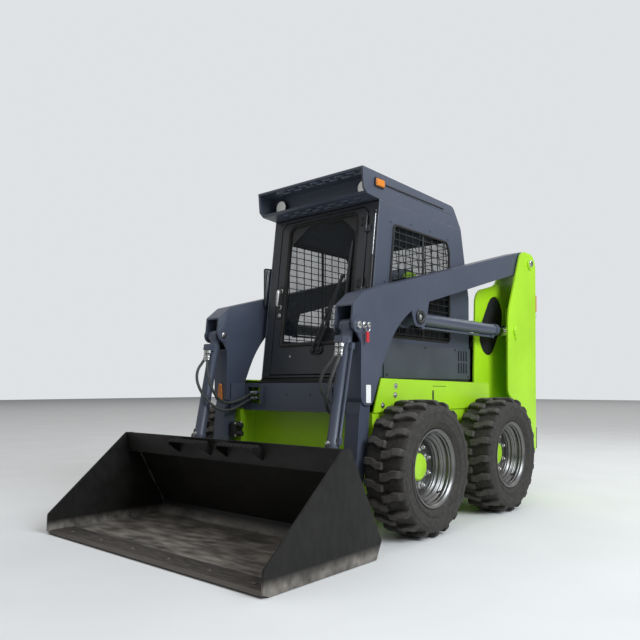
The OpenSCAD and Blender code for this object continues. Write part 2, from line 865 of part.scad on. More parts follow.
// Rear door with louvre slots
module rear_door() {
  x = bay_x - 11;
  s = rear_reach - 50;
  color(lime)
    difference() {
      union() {
        box(-x, x, s, s + 30, 530, 1304);
        for (z = rear_hinges) {
          translate([rear_hinge.x, rear_hinge.y, z]) cylinder(r = 8, h = 70);
          box(rear_hinge.x - 32, rear_hinge.x, s + 29, s + 37, z, z + 70);
        }
      }
      for (z = rear_hinges)
        translate([rear_hinge.x, rear_hinge.y, z - 1]) cylinder(r = 4 + pin_gap, h = 72);
      for (i = [0 : 11])
        box(-x + 135, x - 135, s - 5, s + 40, 760 + i * 40, 778 + i * 40);
    }
}

// Hood over the engine bay with grille slots, hinged at its front edge
module hood() {
  x = bay_x - 6;
  front = cab_rear_s + 16;
  rear = rear_reach - 55;
  pitch = (rear - front - 201) / 12;
  color(slate)
    difference() {
      union() {
        box(-x, x, front, rear, 1318, 1338);
        bar(160 - x, x - 160, [front, 1330], 9);
      }
      for (i = [0 : 11])
        box(130 - x, x - 130, front + 114 + i * pitch, front + 114 + (i + 0.455) * pitch, 1300, 1350);
    }
}

// Rows of half a tyre from the centre line to the bead: [radius, across, ends of a lug round the tyre]
function tyre_rows(r, w, b) = [
  [r, 0, [0, 40]], [r - lug_h, 0, [0, 40]],
  [r, 0.45 * w, [-19, 19]], [r - lug_h, 0.45 * w, [-19, 19]],
  [r, w - 24, [-19, 19]], [r - lug_h, w - 30, [-19, 19]],
  [r - 68, w - 2, [-19, 19]],
  [b + 62, w - 4, [-19, 19]],
  [b, 92, [-19, 19]]
];

// Tyre built round X: two rows of hooked lugs, half a pitch apart, on one body
module tyre() {
  n = lug_count;
  pitch = 360 / n;
  rows = tyre_rows(tyre_r, tyre_w / 2, (rim_d / 2 + 0.3) / cos(0.36 * pitch));
  points = [
    for (i = [0 : n - 1])
      for (h = [0, 1])
        for (e = [0, 1])
          for (row = rows)
            let (turn = (i + h / 2) * pitch + row.z[e] / tyre_r * 180 / PI)
            [row.x * cos(turn), row.x * sin(turn), (1 - 2 * h) * row.y]
  ];
  // Corner of lug i in half h, at end e, in row k
  function at(i, h, e, k) = (((i + n) % n * 2 + h) * 2 + e) * len(rows) + k;
  function quad(h, a, b, c, d) = h == 0 ? [[a, b, c], [a, c, d]] : [[c, b, a], [d, c, a]];
  function strip(i, h, e, k, l) =
    quad(h, at(i, h, e, k), at(i, h, e, l), at(i + e, h, 1 - e, l), at(i + e, h, 1 - e, k));
  faces = [
    for (i = [0 : n - 1])
      for (h = [0, 1])
        let (
          u = at(i, h, 1, 3),
          v = at(i + 1, h, 0, 3),
          line = [at(i, h, 1, 1), at(i + h, 1 - h, 0, 1), at(i + h, 1 - h, 1, 1), at(i + 1, h, 0, 1)]
        )
        each concat(
          strip(i, h, 0, 0, 2), strip(i, h, 0, 2, 4), strip(i, h, 0, 4, 6),
          strip(i, h, 1, 3, 5), strip(i, h, 1, 5, 6),
          [for (k = [0 : 2]) h == 0 ? [u, line[k + 1], line[k]] : [line[k], line[k + 1], u]],
          [h == 0 ? [u, v, line[3]] : [line[3], v, u]],
          quad(h, at(i, h, 0, 1), at(i, h, 0, 0), at(i, h, 1, 0), at(i, h, 1, 1)),
          [
            for (e = [0, 1])
              for (k = [0, 2])
                each quad(
                  abs(h - e), at(i, h, e, k + 3), at(i, h, e, k + 2), at(i, h, e, k), at(i, h, e, k + 1)
                )
          ],
          [
            for (e = [0, 1])
              let (tip = [at(i, h, e, 6), at(i, h, e, 4), at(i, h, e, 5)])
              h == e ? tip : [tip[2], tip[1], tip[0]]
          ],
          [for (e = [0, 1]) for (k = [6, 7]) each strip(i, h, e, k, k + 1)]
        ),
    for (i = [0 : n - 1])
      each [
        [at(i, 0, 0, 8), at(i, 1, 0, 8), at(i, 0, 1, 8)],
        [at(i, 0, 1, 8), at(i, 1, 0, 8), at(i, 1, 1, 8)],
        [at(i, 0, 1, 8), at(i, 1, 1, 8), at(i + 1, 0, 0, 8)],
        [at(i + 1, 0, 0, 8), at(i, 1, 1, 8), at(i + 1, 1, 0, 8)]
      ]
  ];
  color(rubber)
    rotate([0, 90, 0]) polyhedron(points = points, faces = faces);
}

// Rim, dished disc, nuts and hub, built round X with the outside to +X
module wheel() {
  r = rim_d / 2;
  face = -18;
  disc = 12;
  back = face - disc;
  color(rim_grey)
    rotate([0, 90, 0])
      difference() {
        union() {
          rotate_extrude($fn = 96)
            polygon([
              [r + 12, -108], [r + 12, -102], [r, -97], [r, -60], [r - 27, -48], [r - 27, 44], [r, 60],
              [r, 97], [r + 12, 102], [r + 12, 108], [r + 3, 108], [r - 7, 98], [r - 9, 62], [r - 36, 46],
              [r - 36, 24], [r - 42, 18], [r - 42, face], [0, face], [0, back], [r - 36, back],
              [r - 36, -46], [r - 9, -62], [r - 7, -98], [r + 3, -108]
            ]);
          translate([0, 0, back - 18]) cylinder(r = 145, h = 19);
          translate([0, 0, -60]) cylinder(r = 62, h = 61 + back);
          translate([0, 0, face - 1]) cylinder(r = 77, h = 19);
          translate([0, 0, -0.5]) cylinder(r1 = 77, r2 = 69, h = 7);
          for (i = [0 : nut_count - 1])
            rotate([0, 0, (i + 0.5) * 360 / nut_count])
              translate([119, 0, face - 1]) cylinder(r = 15, h = 18, $fn = 6);
        }
        translate([0, 0, -70]) cylinder(r = 30 + pin_gap, h = 60);
      }
}

// Puts a wheel piece at its hub, mirrored on the right
module at_hub(side, station) {
  translate([side * wheel_x, station, tyre_r])
    if (side > 0) children();
    else mirror([1, 0, 0]) children();
}

machine() chassis_tub();
machine() fenders();
machine() rear_posts();
machine() pivot_pins();
machine() axle_housings();
machine() engine_block();
machine() rear_bumper();
machine() cab_floor();
machine() cab_sides();
machine() cab_front();
machine() cab_rear();
machine() cab_roof();
machine() side_covers();
machine() window_screens();
machine() window_glass();
machine() seat_base();
machine() seat_cushion();
machine() seat_back();
machine() controls();
machine() work_lamps();
machine() marker_lamps();
machine() side_mirror();
machine() lift_arms();
machine() cross_beam();
machine() boom_pins();
machine() lift_barrels();
machine() lift_rods();
machine() tilt_barrels();
machine() tilt_rods();
machine() bucket_shell();
machine() cutting_edge();
machine() bucket_steps();
machine() coupler();
machine() door_frame();
machine() door_glass();
machine() door_handle();
machine() rear_door();
machine() hood();
machine() hose(hose_upper, 1);  // hose_left_upper
machine() hose(hose_lower, 1);  // hose_left_lower
machine() hose(hose_upper, -1);  // hose_right_upper
machine() hose(hose_lower, -1);  // hose_right_lower
machine() at_hub(1, front_axle) tyre();  // tyre_front_left
machine() at_hub(-1, front_axle) tyre();  // tyre_front_right
machine() at_hub(1, rear_axle) tyre();  // tyre_rear_left
machine() at_hub(-1, rear_axle) tyre();  // tyre_rear_right
machine() at_hub(1, front_axle) wheel();  // wheel_front_left
machine() at_hub(-1, front_axle) wheel();  // wheel_front_right
machine() at_hub(1, rear_axle) wheel();  // wheel_rear_left
machine() at_hub(-1, rear_axle) wheel();  // wheel_rear_right
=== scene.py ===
"""Looks of a compact skid-steer loader: its camera, hoses, materials, fine pieces, floor and light."""

import math

import bmesh
import bpy
from mathutils import Matrix, Vector


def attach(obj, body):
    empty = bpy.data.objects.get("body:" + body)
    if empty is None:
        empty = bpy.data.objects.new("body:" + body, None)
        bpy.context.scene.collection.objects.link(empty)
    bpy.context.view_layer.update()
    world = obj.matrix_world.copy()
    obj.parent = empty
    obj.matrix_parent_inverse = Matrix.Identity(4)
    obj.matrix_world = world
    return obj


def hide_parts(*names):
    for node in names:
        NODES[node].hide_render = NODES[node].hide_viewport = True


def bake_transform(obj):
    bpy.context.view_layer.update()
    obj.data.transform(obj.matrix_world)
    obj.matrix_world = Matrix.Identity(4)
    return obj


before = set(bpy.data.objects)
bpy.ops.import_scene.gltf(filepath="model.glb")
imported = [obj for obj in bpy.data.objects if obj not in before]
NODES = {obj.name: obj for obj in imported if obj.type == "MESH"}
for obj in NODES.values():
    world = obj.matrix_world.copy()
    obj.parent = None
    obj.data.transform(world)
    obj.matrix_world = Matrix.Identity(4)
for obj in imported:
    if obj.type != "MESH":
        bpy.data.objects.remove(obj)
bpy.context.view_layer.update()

# Places are in millimetres: x to the machine's left, station behind the front axle, z above the ground
MID_STATION = 307
CAB_X = 445
CAB_REAR_S = 1190
ROOF_Z = 2159
ARM_IN = 488
ARM_OUT = 612
CYL_X = 550
POST_OUT = 634
FENDER_X = 608
SILL_Z = 900
SCREEN_S = -95
RAKE = math.radians(7.3)
# Pins of the linkage, as station and height
TILT_TOP = (-400, 1180)
TILT_FOOT = (-575, 350)
LIFT_ARM_PIN = (238, 1275)
LIFT_POST_PIN = (1577, 1276)
BOOM_PIVOT = (1852, 1834)
BUCKET_PIVOT = (-450, 180)
LOCK_PIN = (-335, 1184)
TYRE_R = 386.5
TYRE_W = 264
RIM_R = 209
LUG_H = 24
LUG_COUNT = 20
HUB_X = 750
DISC_FACE = -18
NUT_R = 119
NUT_COUNT = 8
WHEELS = (("front_left", 1, 0), ("front_right", -1, 0), ("rear_left", 1, 1000), ("rear_right", -1, 1000))
SIDES = (("left", 1), ("right", -1))
BOTH = (1, -1)
LEFT = (1, 0, 0)
FRONT = (0, -1, 0)
BACK = (0, 1, 0)
TOP = (0, 0, 1)
# Directions out of the raked windscreen and up along it
OUT = Vector((0, -math.cos(RAKE), math.sin(RAKE)))
UP = Vector((0, math.sin(RAKE), math.cos(RAKE)))
MILLIMETRES = Matrix.Scale(0.001, 4)


def at(x, s, z):
    """A point in the row frame, in metres."""
    return Vector((x, s - MID_STATION, z)) / 1000


def screen_point(x, out, v):
    """A point of the raked windscreen plane: out of it to the front, v up along it."""
    s = SCREEN_S - out * math.cos(RAKE) + v * math.sin(RAKE)
    return at(x, s, SILL_Z + out * math.sin(RAKE) + v * math.cos(RAKE))


def tilt_point(side, front, down):
    """A point beside a tilt cylinder: in front of its axis, and down it from its top pin."""
    axis = Vector((TILT_FOOT[0] - TILT_TOP[0], TILT_FOOT[1] - TILT_TOP[1])).normalized()
    s = TILT_TOP[0] + axis.x * down + axis.y * front
    z = TILT_TOP[1] + axis.y * down - axis.x * front
    return at(side * CYL_X, s, z)


def rear_wall_s(z):
    """Station of the cab's sloping rear face at a height."""
    return CAB_REAR_S - 119 * (z - 1500) / 496


def between(a, b, t):
    """A share of the way from a to b."""
    return tuple(p + (q - p) * t for p, q in zip(a, b))


def camera():
    """The photo's view, as fitted to points of the machine."""
    data = bpy.data.cameras.new("camera")
    data.sensor_width = 36
    data.lens = 36.36
    data.shift_y = 0.0893
    obj = bpy.data.objects.new("camera", data)
    obj.location = (2.734, -3.489, 0.845)
    obj.rotation_euler = (math.pi / 2 + 0.015, 0, 0.709)
    bpy.context.scene.collection.objects.link(obj)
    bpy.context.scene.camera = obj


# Meshes
def piece(name, mesh_parts, finish, body="chassis", slot=None, sharp=35):
    """An object joined from (points, faces) parts in metres, in a finish, shaded smooth up to an angle."""
    points, faces = [], []
    for part_points, part_faces in mesh_parts:
        start = len(points)
        points += [tuple(p) for p in part_points]
        faces += [[start + i for i in face] for face in part_faces]
    mesh = bpy.data.meshes.new(name)
    mesh.from_pydata(points, [], faces)
    made = bmesh.new()
    made.from_mesh(mesh)
    bmesh.ops.recalc_face_normals(made, faces=made.faces)
    made.to_mesh(mesh)
    made.free()
    mesh.shade_smooth()
    mesh.set_sharp_from_angle(angle=math.radians(sharp))
    mesh.materials.append(MATERIALS[finish])
    obj = bpy.data.objects.new(name, mesh)
    bpy.context.scene.collection.objects.link(obj)
    slot = slot or SLOTS.get(finish)
    if body:
        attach(obj, body)
    return obj


def face_frame(origin, forward, up=TOP):
    """A frame in millimetres at a point, whose Z runs along forward and whose Y leans to up."""
    z = Vector(forward).normalized()
    x = Vector(up).cross(z)
    if x.length < 1e-4:
        x = Vector(LEFT).cross(z)
    x.normalize()
    return Matrix.Translation(origin) @ Matrix((x, z.cross(x), z)).transposed().to_4x4() @ MILLIMETRES


def spot(x, s, z, forward, up=TOP):
    """A frame in millimetres at a place of the machine."""
    return face_frame(at(x, s, z), forward, up)


def on_screen(x, out, v):
    """A frame in millimetres on the windscreen plane, facing out of it."""
    return face_frame(screen_point(x, out, v), OUT, UP)


def moved(frame_matrix, x, y, z):
    """A frame moved along its own axes."""
    return frame_matrix @ Matrix.Translation((x, y, z))


def loft(rings, open_rings=False, wrap=False):
    """A surface through rings of as many points each, capped at its ends or wrapped round to the first."""
    count = len(rings[0])
    points = [p for ring in rings for p in ring]
    faces = []
    for i in range(len(rings) - (not wrap)):
        here, there = i * count, (i + 1) % len(rings) * count
        for k in range(count - open_rings):
            n = (k + 1) % count
            faces.append([here + k, here + n, there + n, there + k])
    if not wrap:
        faces.append(list(range(count))[::-1])
        faces.append(list(range(len(points) - count, len(points))))
    return points, faces


def lathe(profile, frame_matrix, segments=32):
    """A surface turned round the frame's Z from [radius, height] in millimetres, closed at radius 0."""
    rings = []
    for i in range(segments):
        turn = 2 * math.pi * i / segments
        rings.append([frame_matrix @ Vector((r * math.cos(turn), r * math.sin(turn), h)) for r, h in profile])
    return loft(rings, open_rings=True, wrap=True)


def prism(outline, frame_matrix, height, chamfer):
    """An outline in millimetres raised along the frame's Z, with a chamfered top."""
    centre = Vector((sum(p[0] for p in outline), sum(p[1] for p in outline))) / len(outline)
    rings = []
    for h, inset in ((0, 0.0), (height - chamfer, 0.0), (height, chamfer)):
        ring = []
        for p in outline:
            q = Vector(p)
            q -= (q - centre).normalized() * inset
            ring.append(frame_matrix @ Vector((q.x, q.y, h)))
        rings.append(ring)
    return loft(rings)


def plate(w, h, r, frame_matrix, height, chamfer):
    """A rectangle with round corners, raised like a prism."""
    return prism(round_rect(w, h, r), frame_matrix, height, chamfer)


def extrude(outline, frame_matrix, height):
    """An outline in millimetres, of any shape, raised along the frame's Z."""
    return loft([[frame_matrix @ Vector((x, y, h)) for x, y in outline] for h in (0, height)])


def box(x0, y0, x1, y1):
    """Corners of a rectangle."""
    return [(x0, y0), (x1, y0), (x1, y1), (x0, y1)]


def round_rect(w, h, r, n=5):
    """A rectangle about the origin with round corners."""
    out = []
    x, y = w / 2 - r, h / 2 - r
    for cx, cy, start in ((x, y, 0), (-x, y, 90), (-x, -y, 180), (x, -y, 270)):
        for i in range(n + 1):
            turn = math.radians(start + 90 * i / n)
            out.append((cx + r * math.cos(turn), cy + r * math.sin(turn)))
    return out


def rounded(points, r, n=5):
    """A closed outline with its corners rounded."""
    out = []
    count = len(points)
    for i in range(count):
        before, here, after = (Vector(points[(i + k) % count]) for k in (-1, 0, 1))
        reach = min(r, 0.45 * (before - here).length, 0.45 * (after - here).length)
        a = here + (before - here).normalized() * reach
        b = here + (after - here).normalized() * reach
        for k in range(n + 1):
            t = k / n
            out.append((1 - t) ** 2 * a + 2 * t * (1 - t) * here + t ** 2 * b)
    return out


def smooth_path(points, steps=6):
    """A smooth line through points."""
    out = []
    last = len(points) - 1
    for i in range(last):
        a, b, c, d = (Vector(points[max(0, min(last, k))]) for k in (i - 1, i, i + 1, i + 2))
        for k in range(steps + (i == last - 1)):
            t = k / steps
            out.append((2 * b + (c - a) * t + (2 * a - 5 * b + 4 * c - d) * t ** 2
                        + (3 * b - a - 3 * c + d) * t ** 3) / 2)
    return out


def tube(path, radius, sides=14, closed=False):
    """A round tube along a path in metres, its frame carried along without twist."""
    count = len(path)
    rings = []
    side = None
    for i in range(count):
        before = path[(i - 1) % count] if closed else path[max(i - 1, 0)]
        after = path[(i + 1) % count] if closed else path[min(i + 1, count - 1)]
        along = (after - before).normalized()
        if side is None:
            side = along.orthogonal()
        side = (side - along * side.dot(along)).normalized()
        other = along.cross(side)
        turns = [2 * math.pi * j / sides for j in range(sides)]
        rings.append([path[i] + radius * (math.cos(turn) * side + math.sin(turn) * other) for turn in turns])
    return loft(rings, wrap=closed)


def bead(path, radius, sides=8):
    """A weld bead: a tube whose radius ripples along its path."""
    points, faces = tube(path, radius, sides)
    for i, middle in enumerate(path):
        swell = 1 + 0.16 * math.sin(i * 1.9)
        for j in range(sides):
            points[i * sides + j] = middle + (points[i * sides + j] - middle) * swell
    return points, faces


def hexagon(r):
    """A regular hexagon about the origin."""
    return [(r * math.cos(math.radians(60 * i)), r * math.sin(math.radians(60 * i))) for i in range(6)]


def bolts(places, out, r):
    """Hexagon bolt heads on their washers, standing out of a face."""
    parts = []
    for origin in places:
        place = face_frame(origin, out)
        parts.append(lathe([[0, 0], [1.75 * r, 0], [1.75 * r, 1.6], [1.6 * r, 2.2], [0, 2.2]], place, 24))
        parts.append(prism(hexagon(r), moved(place, 0, 0, 2), 0.7 * r, 0.14 * r))
    return parts


def dome(origin, out, r, h):
    """A round head with a soft edge."""
    profile = [[0, 0], [r, 0], [r, 0.45 * h], [0.92 * r, 0.75 * h], [0.7 * r, 0.94 * h], [0, h]]
    return lathe(profile, face_frame(origin, out), 28)


# Materials
GUARD_PITCH = 0.011
PAINT_DUST = (0.20, 0.16, 0.12)
RUBBER_DUST = (0.10, 0.085, 0.070)
LIME = (0.38, 0.69, 0.012)
SLATE = (0.055, 0.066, 0.097)
# A darker slate that paints the shade of the cab's front-facing parts.
SHADED_SLATE = (0.026, 0.029, 0.034)
BLACK = (0.012, 0.012, 0.013)
RIM = (0.17, 0.168, 0.165)


def dim(colour, share):
    """A colour made darker or lighter."""
    return tuple(min(1, share * c) for c in colour)


class Look:
    """A material and the nodes that feed its shader."""

    def __init__(self, name, colour, roughness, metallic=0.0):
        self.made = bpy.data.materials.new(name)
        self.made.use_nodes = True
        self.tree = self.made.node_tree
        self.shader = self.tree.nodes["Principled BSDF"]
        self.feed({"Base Color": (*colour, 1), "Roughness": roughness, "Metallic": metallic})

    def fill(self, node, inputs):
        """Gives each input a value or another node's output."""
        for key, value in inputs.items():
            if isinstance(value, bpy.types.NodeSocket):
                self.tree.links.new(value, node.inputs[key])
            else:
                node.inputs[key].default_value = value

    def feed(self, inputs):
        self.fill(self.shader, inputs)

    def add(self, kind, inputs):
        node = self.tree.nodes.new("ShaderNode" + kind)
        self.fill(node, inputs)
        return node

    def coords(self):
        return self.add("TexCoord", {}).outputs["Object"]

    def noise(self, scale, detail=4.0, stretch=(1, 1, 1)):
        mapping = self.add("Mapping", {"Vector": self.coords(), "Scale": stretch})
        inputs = {"Vector": mapping.outputs["Vector"], "Scale": scale, "Detail": detail}
        return self.add("TexNoise", inputs).outputs["Fac"]

    def waves(self, scale, distortion, direction="X"):
        node = self.add("TexWave", {"Vector": self.coords(), "Scale": scale, "Distortion": distortion})
        node.bands_direction = direction
        return node.outputs["Fac"]

    def attribute(self, name):
        """A value that the mesh carries at its points."""
        node = self.add("Attribute", {})
        node.attribute_name = name
        return node.outputs["Fac"]

    def remap(self, value, to_low, to_high, low=0.3, high=0.7):
        """A value taken from one range to another. The first is where most of a noise lies, unless given."""
        inputs = {"Value": value, "From Min": low, "From Max": high, "To Min": to_low, "To Max": to_high}
        return self.add("MapRange", inputs).outputs["Result"]

    def math(self, operation, a, b):
        node = self.add("Math", {0: a, 1: b})
        node.operation = operation
        return node.outputs["Value"]

    def mix(self, factor, a, b):
        """A mix of two colours, each a colour or a socket."""
        node = self.add("Mix", {})
        node.data_type = "RGBA"
        a, b = ((*value, 1) if isinstance(value, tuple) else value for value in (a, b))
        self.fill(node, {0: factor, 6: a, 7: b})
        return node.outputs[2]

    def bump(self, height, strength, distance):
        node = self.add("Bump", {"Height": height, "Strength": strength, "Distance": distance})
        self.feed({"Normal": node.outputs["Normal"]})

    def height_above(self, low, high):
        """1 at the low height falling to 0 at the high one, in metres."""
        split = self.add("SeparateXYZ", {"Vector": self.coords()})
        return self.remap(split.outputs["Z"], 1, 0, low, high)


def paint(name, colour, roughness, dust, dust_top=0.9, lighter_tone=None, flake=0.0):
    """Sprayed paint: soft tones, orange peel, dust that thins out upward, and, when a lighter tone is given,
    lighter patches for the edge faces: partly worn paint, partly painted highlight.
    """
    look = Look(name, colour, roughness, flake)
    light = tuple(min(1, 1.09 * c + 0.002) for c in colour)
    base = look.mix(look.remap(look.noise(2.2, 3), 0, 1), dim(colour, 0.92), light)
    # Lighter patches on the edge copy: partly worn paint, partly painted highlight.
    if lighter_tone:
        base = look.mix(look.remap(look.noise(30, 5), 0.15, 0.8, 0.45, 0.62), base, lighter_tone)
    speckle = look.remap(look.noise(9, 6), 0, dust, 0.35, 0.75)
    base = look.mix(look.math("MULTIPLY", look.height_above(0.05, dust_top), speckle), base, PAINT_DUST)
    gloss = look.remap(look.noise(14, 5), roughness - 0.05, roughness + 0.08)
    look.feed({"Base Color": base, "Roughness": gloss, "Coat Weight": 0.2, "Coat Roughness": 0.25})
    look.bump(look.noise(420, 2), 0.04, 0.0005)
    return look.made


def bare_metal(name, colour, roughness, stretch=(1, 1, 1), scale=90, streak=0.14):
    """Bare metal with fine drawn or turned marks."""
    look = Look(name, colour, roughness, 1.0)
    marks = look.noise(scale, 6, stretch)
    tone = look.mix(look.remap(marks, 0, 1), dim(colour, 0.8), dim(colour, 1.12))
    gloss = look.remap(marks, roughness - streak / 2, roughness + streak)
    look.feed({"Base Color": tone, "Roughness": gloss})
    look.bump(marks, 0.08, 0.0005)
    return look.made


def bucket_paint(name, lighter_tone=0.0):
    """Black paint, scraped to brown-grey steel and dried soil low in the bucket."""
    look = Look(name, BLACK, 0.46)
    scrape = look.noise(14, 8, (0.5, 1.6, 1))
    soil = look.noise(5, 7)
    low = look.math("MULTIPLY", look.height_above(0.03, 0.075), look.remap(soil, 0.35, 1, 0.2, 0.55))
    worn = look.mix(look.remap(scrape, 0, 1, 0.35, 0.68), (0.095, 0.084, 0.073), (0.26, 0.235, 0.205))
    painted = look.mix(look.remap(soil, 0, 1), (0.0055, 0.0050, 0.0042), (0.0105, 0.0095, 0.0080))
    base = look.mix(low, painted, worn)
    # Lighter patches on the edge copy: partly scraped steel, partly painted highlight.
    if lighter_tone:
        base = look.mix(look.remap(scrape, 0, lighter_tone, 0.4, 0.65), base, (0.11, 0.10, 0.09))
    look.feed({"Base Color": base, "Roughness": look.remap(scrape, 0.40, 0.62), "Specular IOR Level": 0.3})
    look.bump(scrape, 0.08, 0.0010)
    return look.made


def rubber(name, colour, dusty, scale=55, crown=False):
    """Matt rubber, greyed by dust, more of it where the mesh marks a tread's crown."""
    look = Look(name, colour, 0.78)
    base = look.mix(look.remap(look.noise(scale, 8), 0, dusty, 0.3, 0.75), colour, RUBBER_DUST)
    if crown:
        lighter_tone = look.math("MULTIPLY", look.attribute("crown"), look.remap(look.noise(40, 5), 0.25, 0.7))
        base = look.mix(lighter_tone, base, (0.115, 0.105, 0.095))
    look.feed({"Base Color": base, "Roughness": look.remap(look.noise(30, 4), 0.66, 0.88)})
    look.bump(look.noise(320, 5), 0.1, 0.0004)
    return look.made


def hose_guard(name, groove, crest):
    """Spiral guard round a hose: its turns are spaced by the length the mesh carries along the hose."""
    look = Look(name, crest, 0.55)
    turns = look.math("PINGPONG", look.attribute("along"), GUARD_PITCH / 2)
    rise = look.remap(turns, 0, 1, 0, 0.35 * GUARD_PITCH)
    scuffed = look.mix(look.remap(look.noise(60, 5), 0, 0.6, 0.35, 0.7), crest, groove)
    look.feed({"Base Color": look.mix(rise, groove, scuffed)})
    look.bump(rise, 0.7, 0.002)
    return look.made


def moulded(name, colour, roughness=0.5):
    """Moulded plastic with a fine grain."""
    look = Look(name, colour, roughness)
    grain = look.noise(700, 3)
    tone = look.mix(look.remap(look.noise(4, 3), 0, 1), dim(colour, 0.85), dim(colour, 1.2))
    look.feed({"Base Color": tone, "Roughness": look.remap(grain, roughness - 0.06, roughness + 0.1)})
    look.bump(grain, 0.18, 0.0006)
    return look.made


def glass(name, colour, alpha):
    """Tinted glass with a faint film of dust."""
    look = Look(name, colour, 0.04)
    film = look.noise(7, 7)
    look.feed({"Alpha": look.remap(film, alpha, alpha + 0.08, 0.35, 0.75)})
    look.feed({"Roughness": look.remap(film, 0.02, 0.08, 0.3, 0.75)})
    return look.made


def lens(name, colour, pitch, painted_glow=0.0):
    """A lamp lens with moulded ribs behind a smooth front. Its light colour and its emission are painted
    light: the shine of the bowl behind it, in a lamp that is not lit.
    """
    look = Look(name, colour, 0.12)
    ribs = look.waves(pitch, 0.3)
    look.feed({"Base Color": look.mix(ribs, dim(colour, 0.55), colour), "Emission Color": (*colour, 1)})
    look.feed({"Emission Strength": painted_glow, "Coat Weight": 1.0, "Coat Roughness": 0.03})
    look.bump(ribs, 0.35, 0.001)
    return look.made


def woven(name, colour):
    """Seat cloth with a fine over-and-under weave."""
    look = Look(name, colour, 0.85)
    weave = look.math("MULTIPLY", look.waves(160, 0.4, "X"), look.waves(160, 0.4, "Y"))
    look.feed({"Base Color": look.mix(weave, dim(colour, 0.6), dim(colour, 1.7)), "Sheen Weight": 0.3})
    look.bump(weave, 0.4, 0.0012)
    return look.made


def studio_floor(name):
    """Pale matt floor with a faint change of tone."""
    look = Look(name, (0.72, 0.72, 0.71), 0.8)
    tone = look.mix(look.remap(look.noise(1.5, 4), 0, 1), (0.70, 0.70, 0.69), (0.74, 0.74, 0.73))
    look.feed({"Base Color": tone})
    return look.made


MATERIALS = {
    "green": paint("lime_paint", LIME, 0.34, 0.35, 0.75),
    # Each edge copy lightens the bevelled edges: partly worn paint, partly painted highlight.
    "green_edge": paint("lime_paint_edge_wear_and_highlight", LIME, 0.36, 0.35, 0.75, (0.44, 0.74, 0.14)),
    "slate": paint("slate_paint", SLATE, 0.40, 0.3, 0.7),
    "slate_edge": paint("slate_paint_edge_wear_and_highlight", SLATE, 0.40, 0.3, 0.7, (0.10, 0.11, 0.12)),
    "shaded_slate": paint("shaded_slate_paint", SHADED_SLATE, 0.40, 0.3, 0.7),
    "shaded_slate_edge": paint("shaded_slate_paint_edge_wear_and_highlight", SHADED_SLATE, 0.40, 0.3, 0.7, (0.08, 0.085, 0.09)),
    "black": paint("black_paint", BLACK, 0.46, 0.3),
    "black_edge": paint("black_paint_edge_wear_and_highlight", BLACK, 0.46, 0.3, 0.9, (0.07, 0.07, 0.07)),
    "rim": paint("grey_rim_paint", RIM, 0.30, 0.3, 1.2, flake=0.75),
    "rim_edge": paint("grey_rim_paint_edge_wear_and_highlight", RIM, 0.30, 0.3, 1.2, (0.40, 0.40, 0.40), 0.75),
    "bucket": bucket_paint("bucket_black"),
    "bucket_edge": bucket_paint("bucket_black_edge_wear_and_highlight", 0.7),
    "edge": bare_metal("worn_edge_steel", (0.16, 0.145, 0.13), 0.52, (0.3, 3, 1), 40),
    "pin": bare_metal("pin_steel", (0.55, 0.55, 0.56), 0.30),
    "chrome": bare_metal("hard_chrome", (0.72, 0.72, 0.73), 0.12, scale=160, streak=0.05),
    "fitting": bare_metal("plated_fitting", (0.60, 0.60, 0.58), 0.26, scale=200),
    "tyre": rubber("tyre_rubber", (0.015, 0.0135, 0.012), 0.35, crown=True),
    "hose": hose_guard("hose_guard", (0.016, 0.017, 0.016), (0.085, 0.088, 0.080)),
    "gasket": rubber("window_rubber", (0.009, 0.009, 0.009), 0.12, 90),
    # Near-black finish that paints the shade inside the engine bay.
    "painted_shade_black": rubber("bay_painted_shade", (0.004, 0.004, 0.004), 0.03, 60),
    "foam": rubber("lining_foam", (0.012, 0.012, 0.013), 0.1, 60),
    "plastic": moulded("dark_plastic", (0.018, 0.019, 0.021)),
    "cast": bare_metal("cast_aluminium", (0.34, 0.34, 0.33), 0.46, scale=130, streak=0.10),
    "scale": bare_metal("heat_scaled_steel", (0.20, 0.155, 0.125), 0.55, scale=28, streak=0.20),
    "cover": moulded("side_cover_plastic", (0.050, 0.057, 0.070), 0.42),
    "seat": woven("seat_cloth", (0.022, 0.022, 0.024)),
    "glass": glass("tinted_glass", (0.012, 0.018, 0.022), 0.20),
    "mirror": bare_metal("mirror_glass", (0.82, 0.84, 0.84), 0.06, scale=6, streak=0.02),
    # The clear lens's light colour and emission paint the shine of the lamp bowls; no lamp is lit.
    "lamp": lens("clear_lens_painted_bowl_light", (0.80, 0.80, 0.77), 60, 0.22),
    "amber": lens("amber_lens", (0.85, 0.26, 0.02), 90),
    "red": moulded("red_tag", (0.50, 0.02, 0.03), 0.4),
    "white": moulded("white_label", (0.74, 0.74, 0.72), 0.45),
    "floor": studio_floor("studio_floor"),
}
# The record's slot for pieces of each finish, unless a piece names another
SLOT_FINISHES = {
    "green_paint": ("green",),
    "slate_paint": ("slate",),
    "black_paint": ("black", "bucket_edge", "painted_shade_black", "cast", "scale"),
    "rim_paint": ("rim",),
    "worn_steel": ("edge",),
    "rod_chrome": ("pin",),
    "pin_steel": ("fitting",),
    "tyre_rubber": ("tyre",),
    "hose_rubber": ("hose",),
    "seat_cover": ("foam",),
    "dark_plastic": ("gasket", "plastic", "mirror", "red", "white"),
    "lamp_clear": ("lamp",),
    "lamp_amber": ("amber",),
}
SLOTS = {finish: slot for slot, finishes in SLOT_FINISHES.items() for finish in finishes}
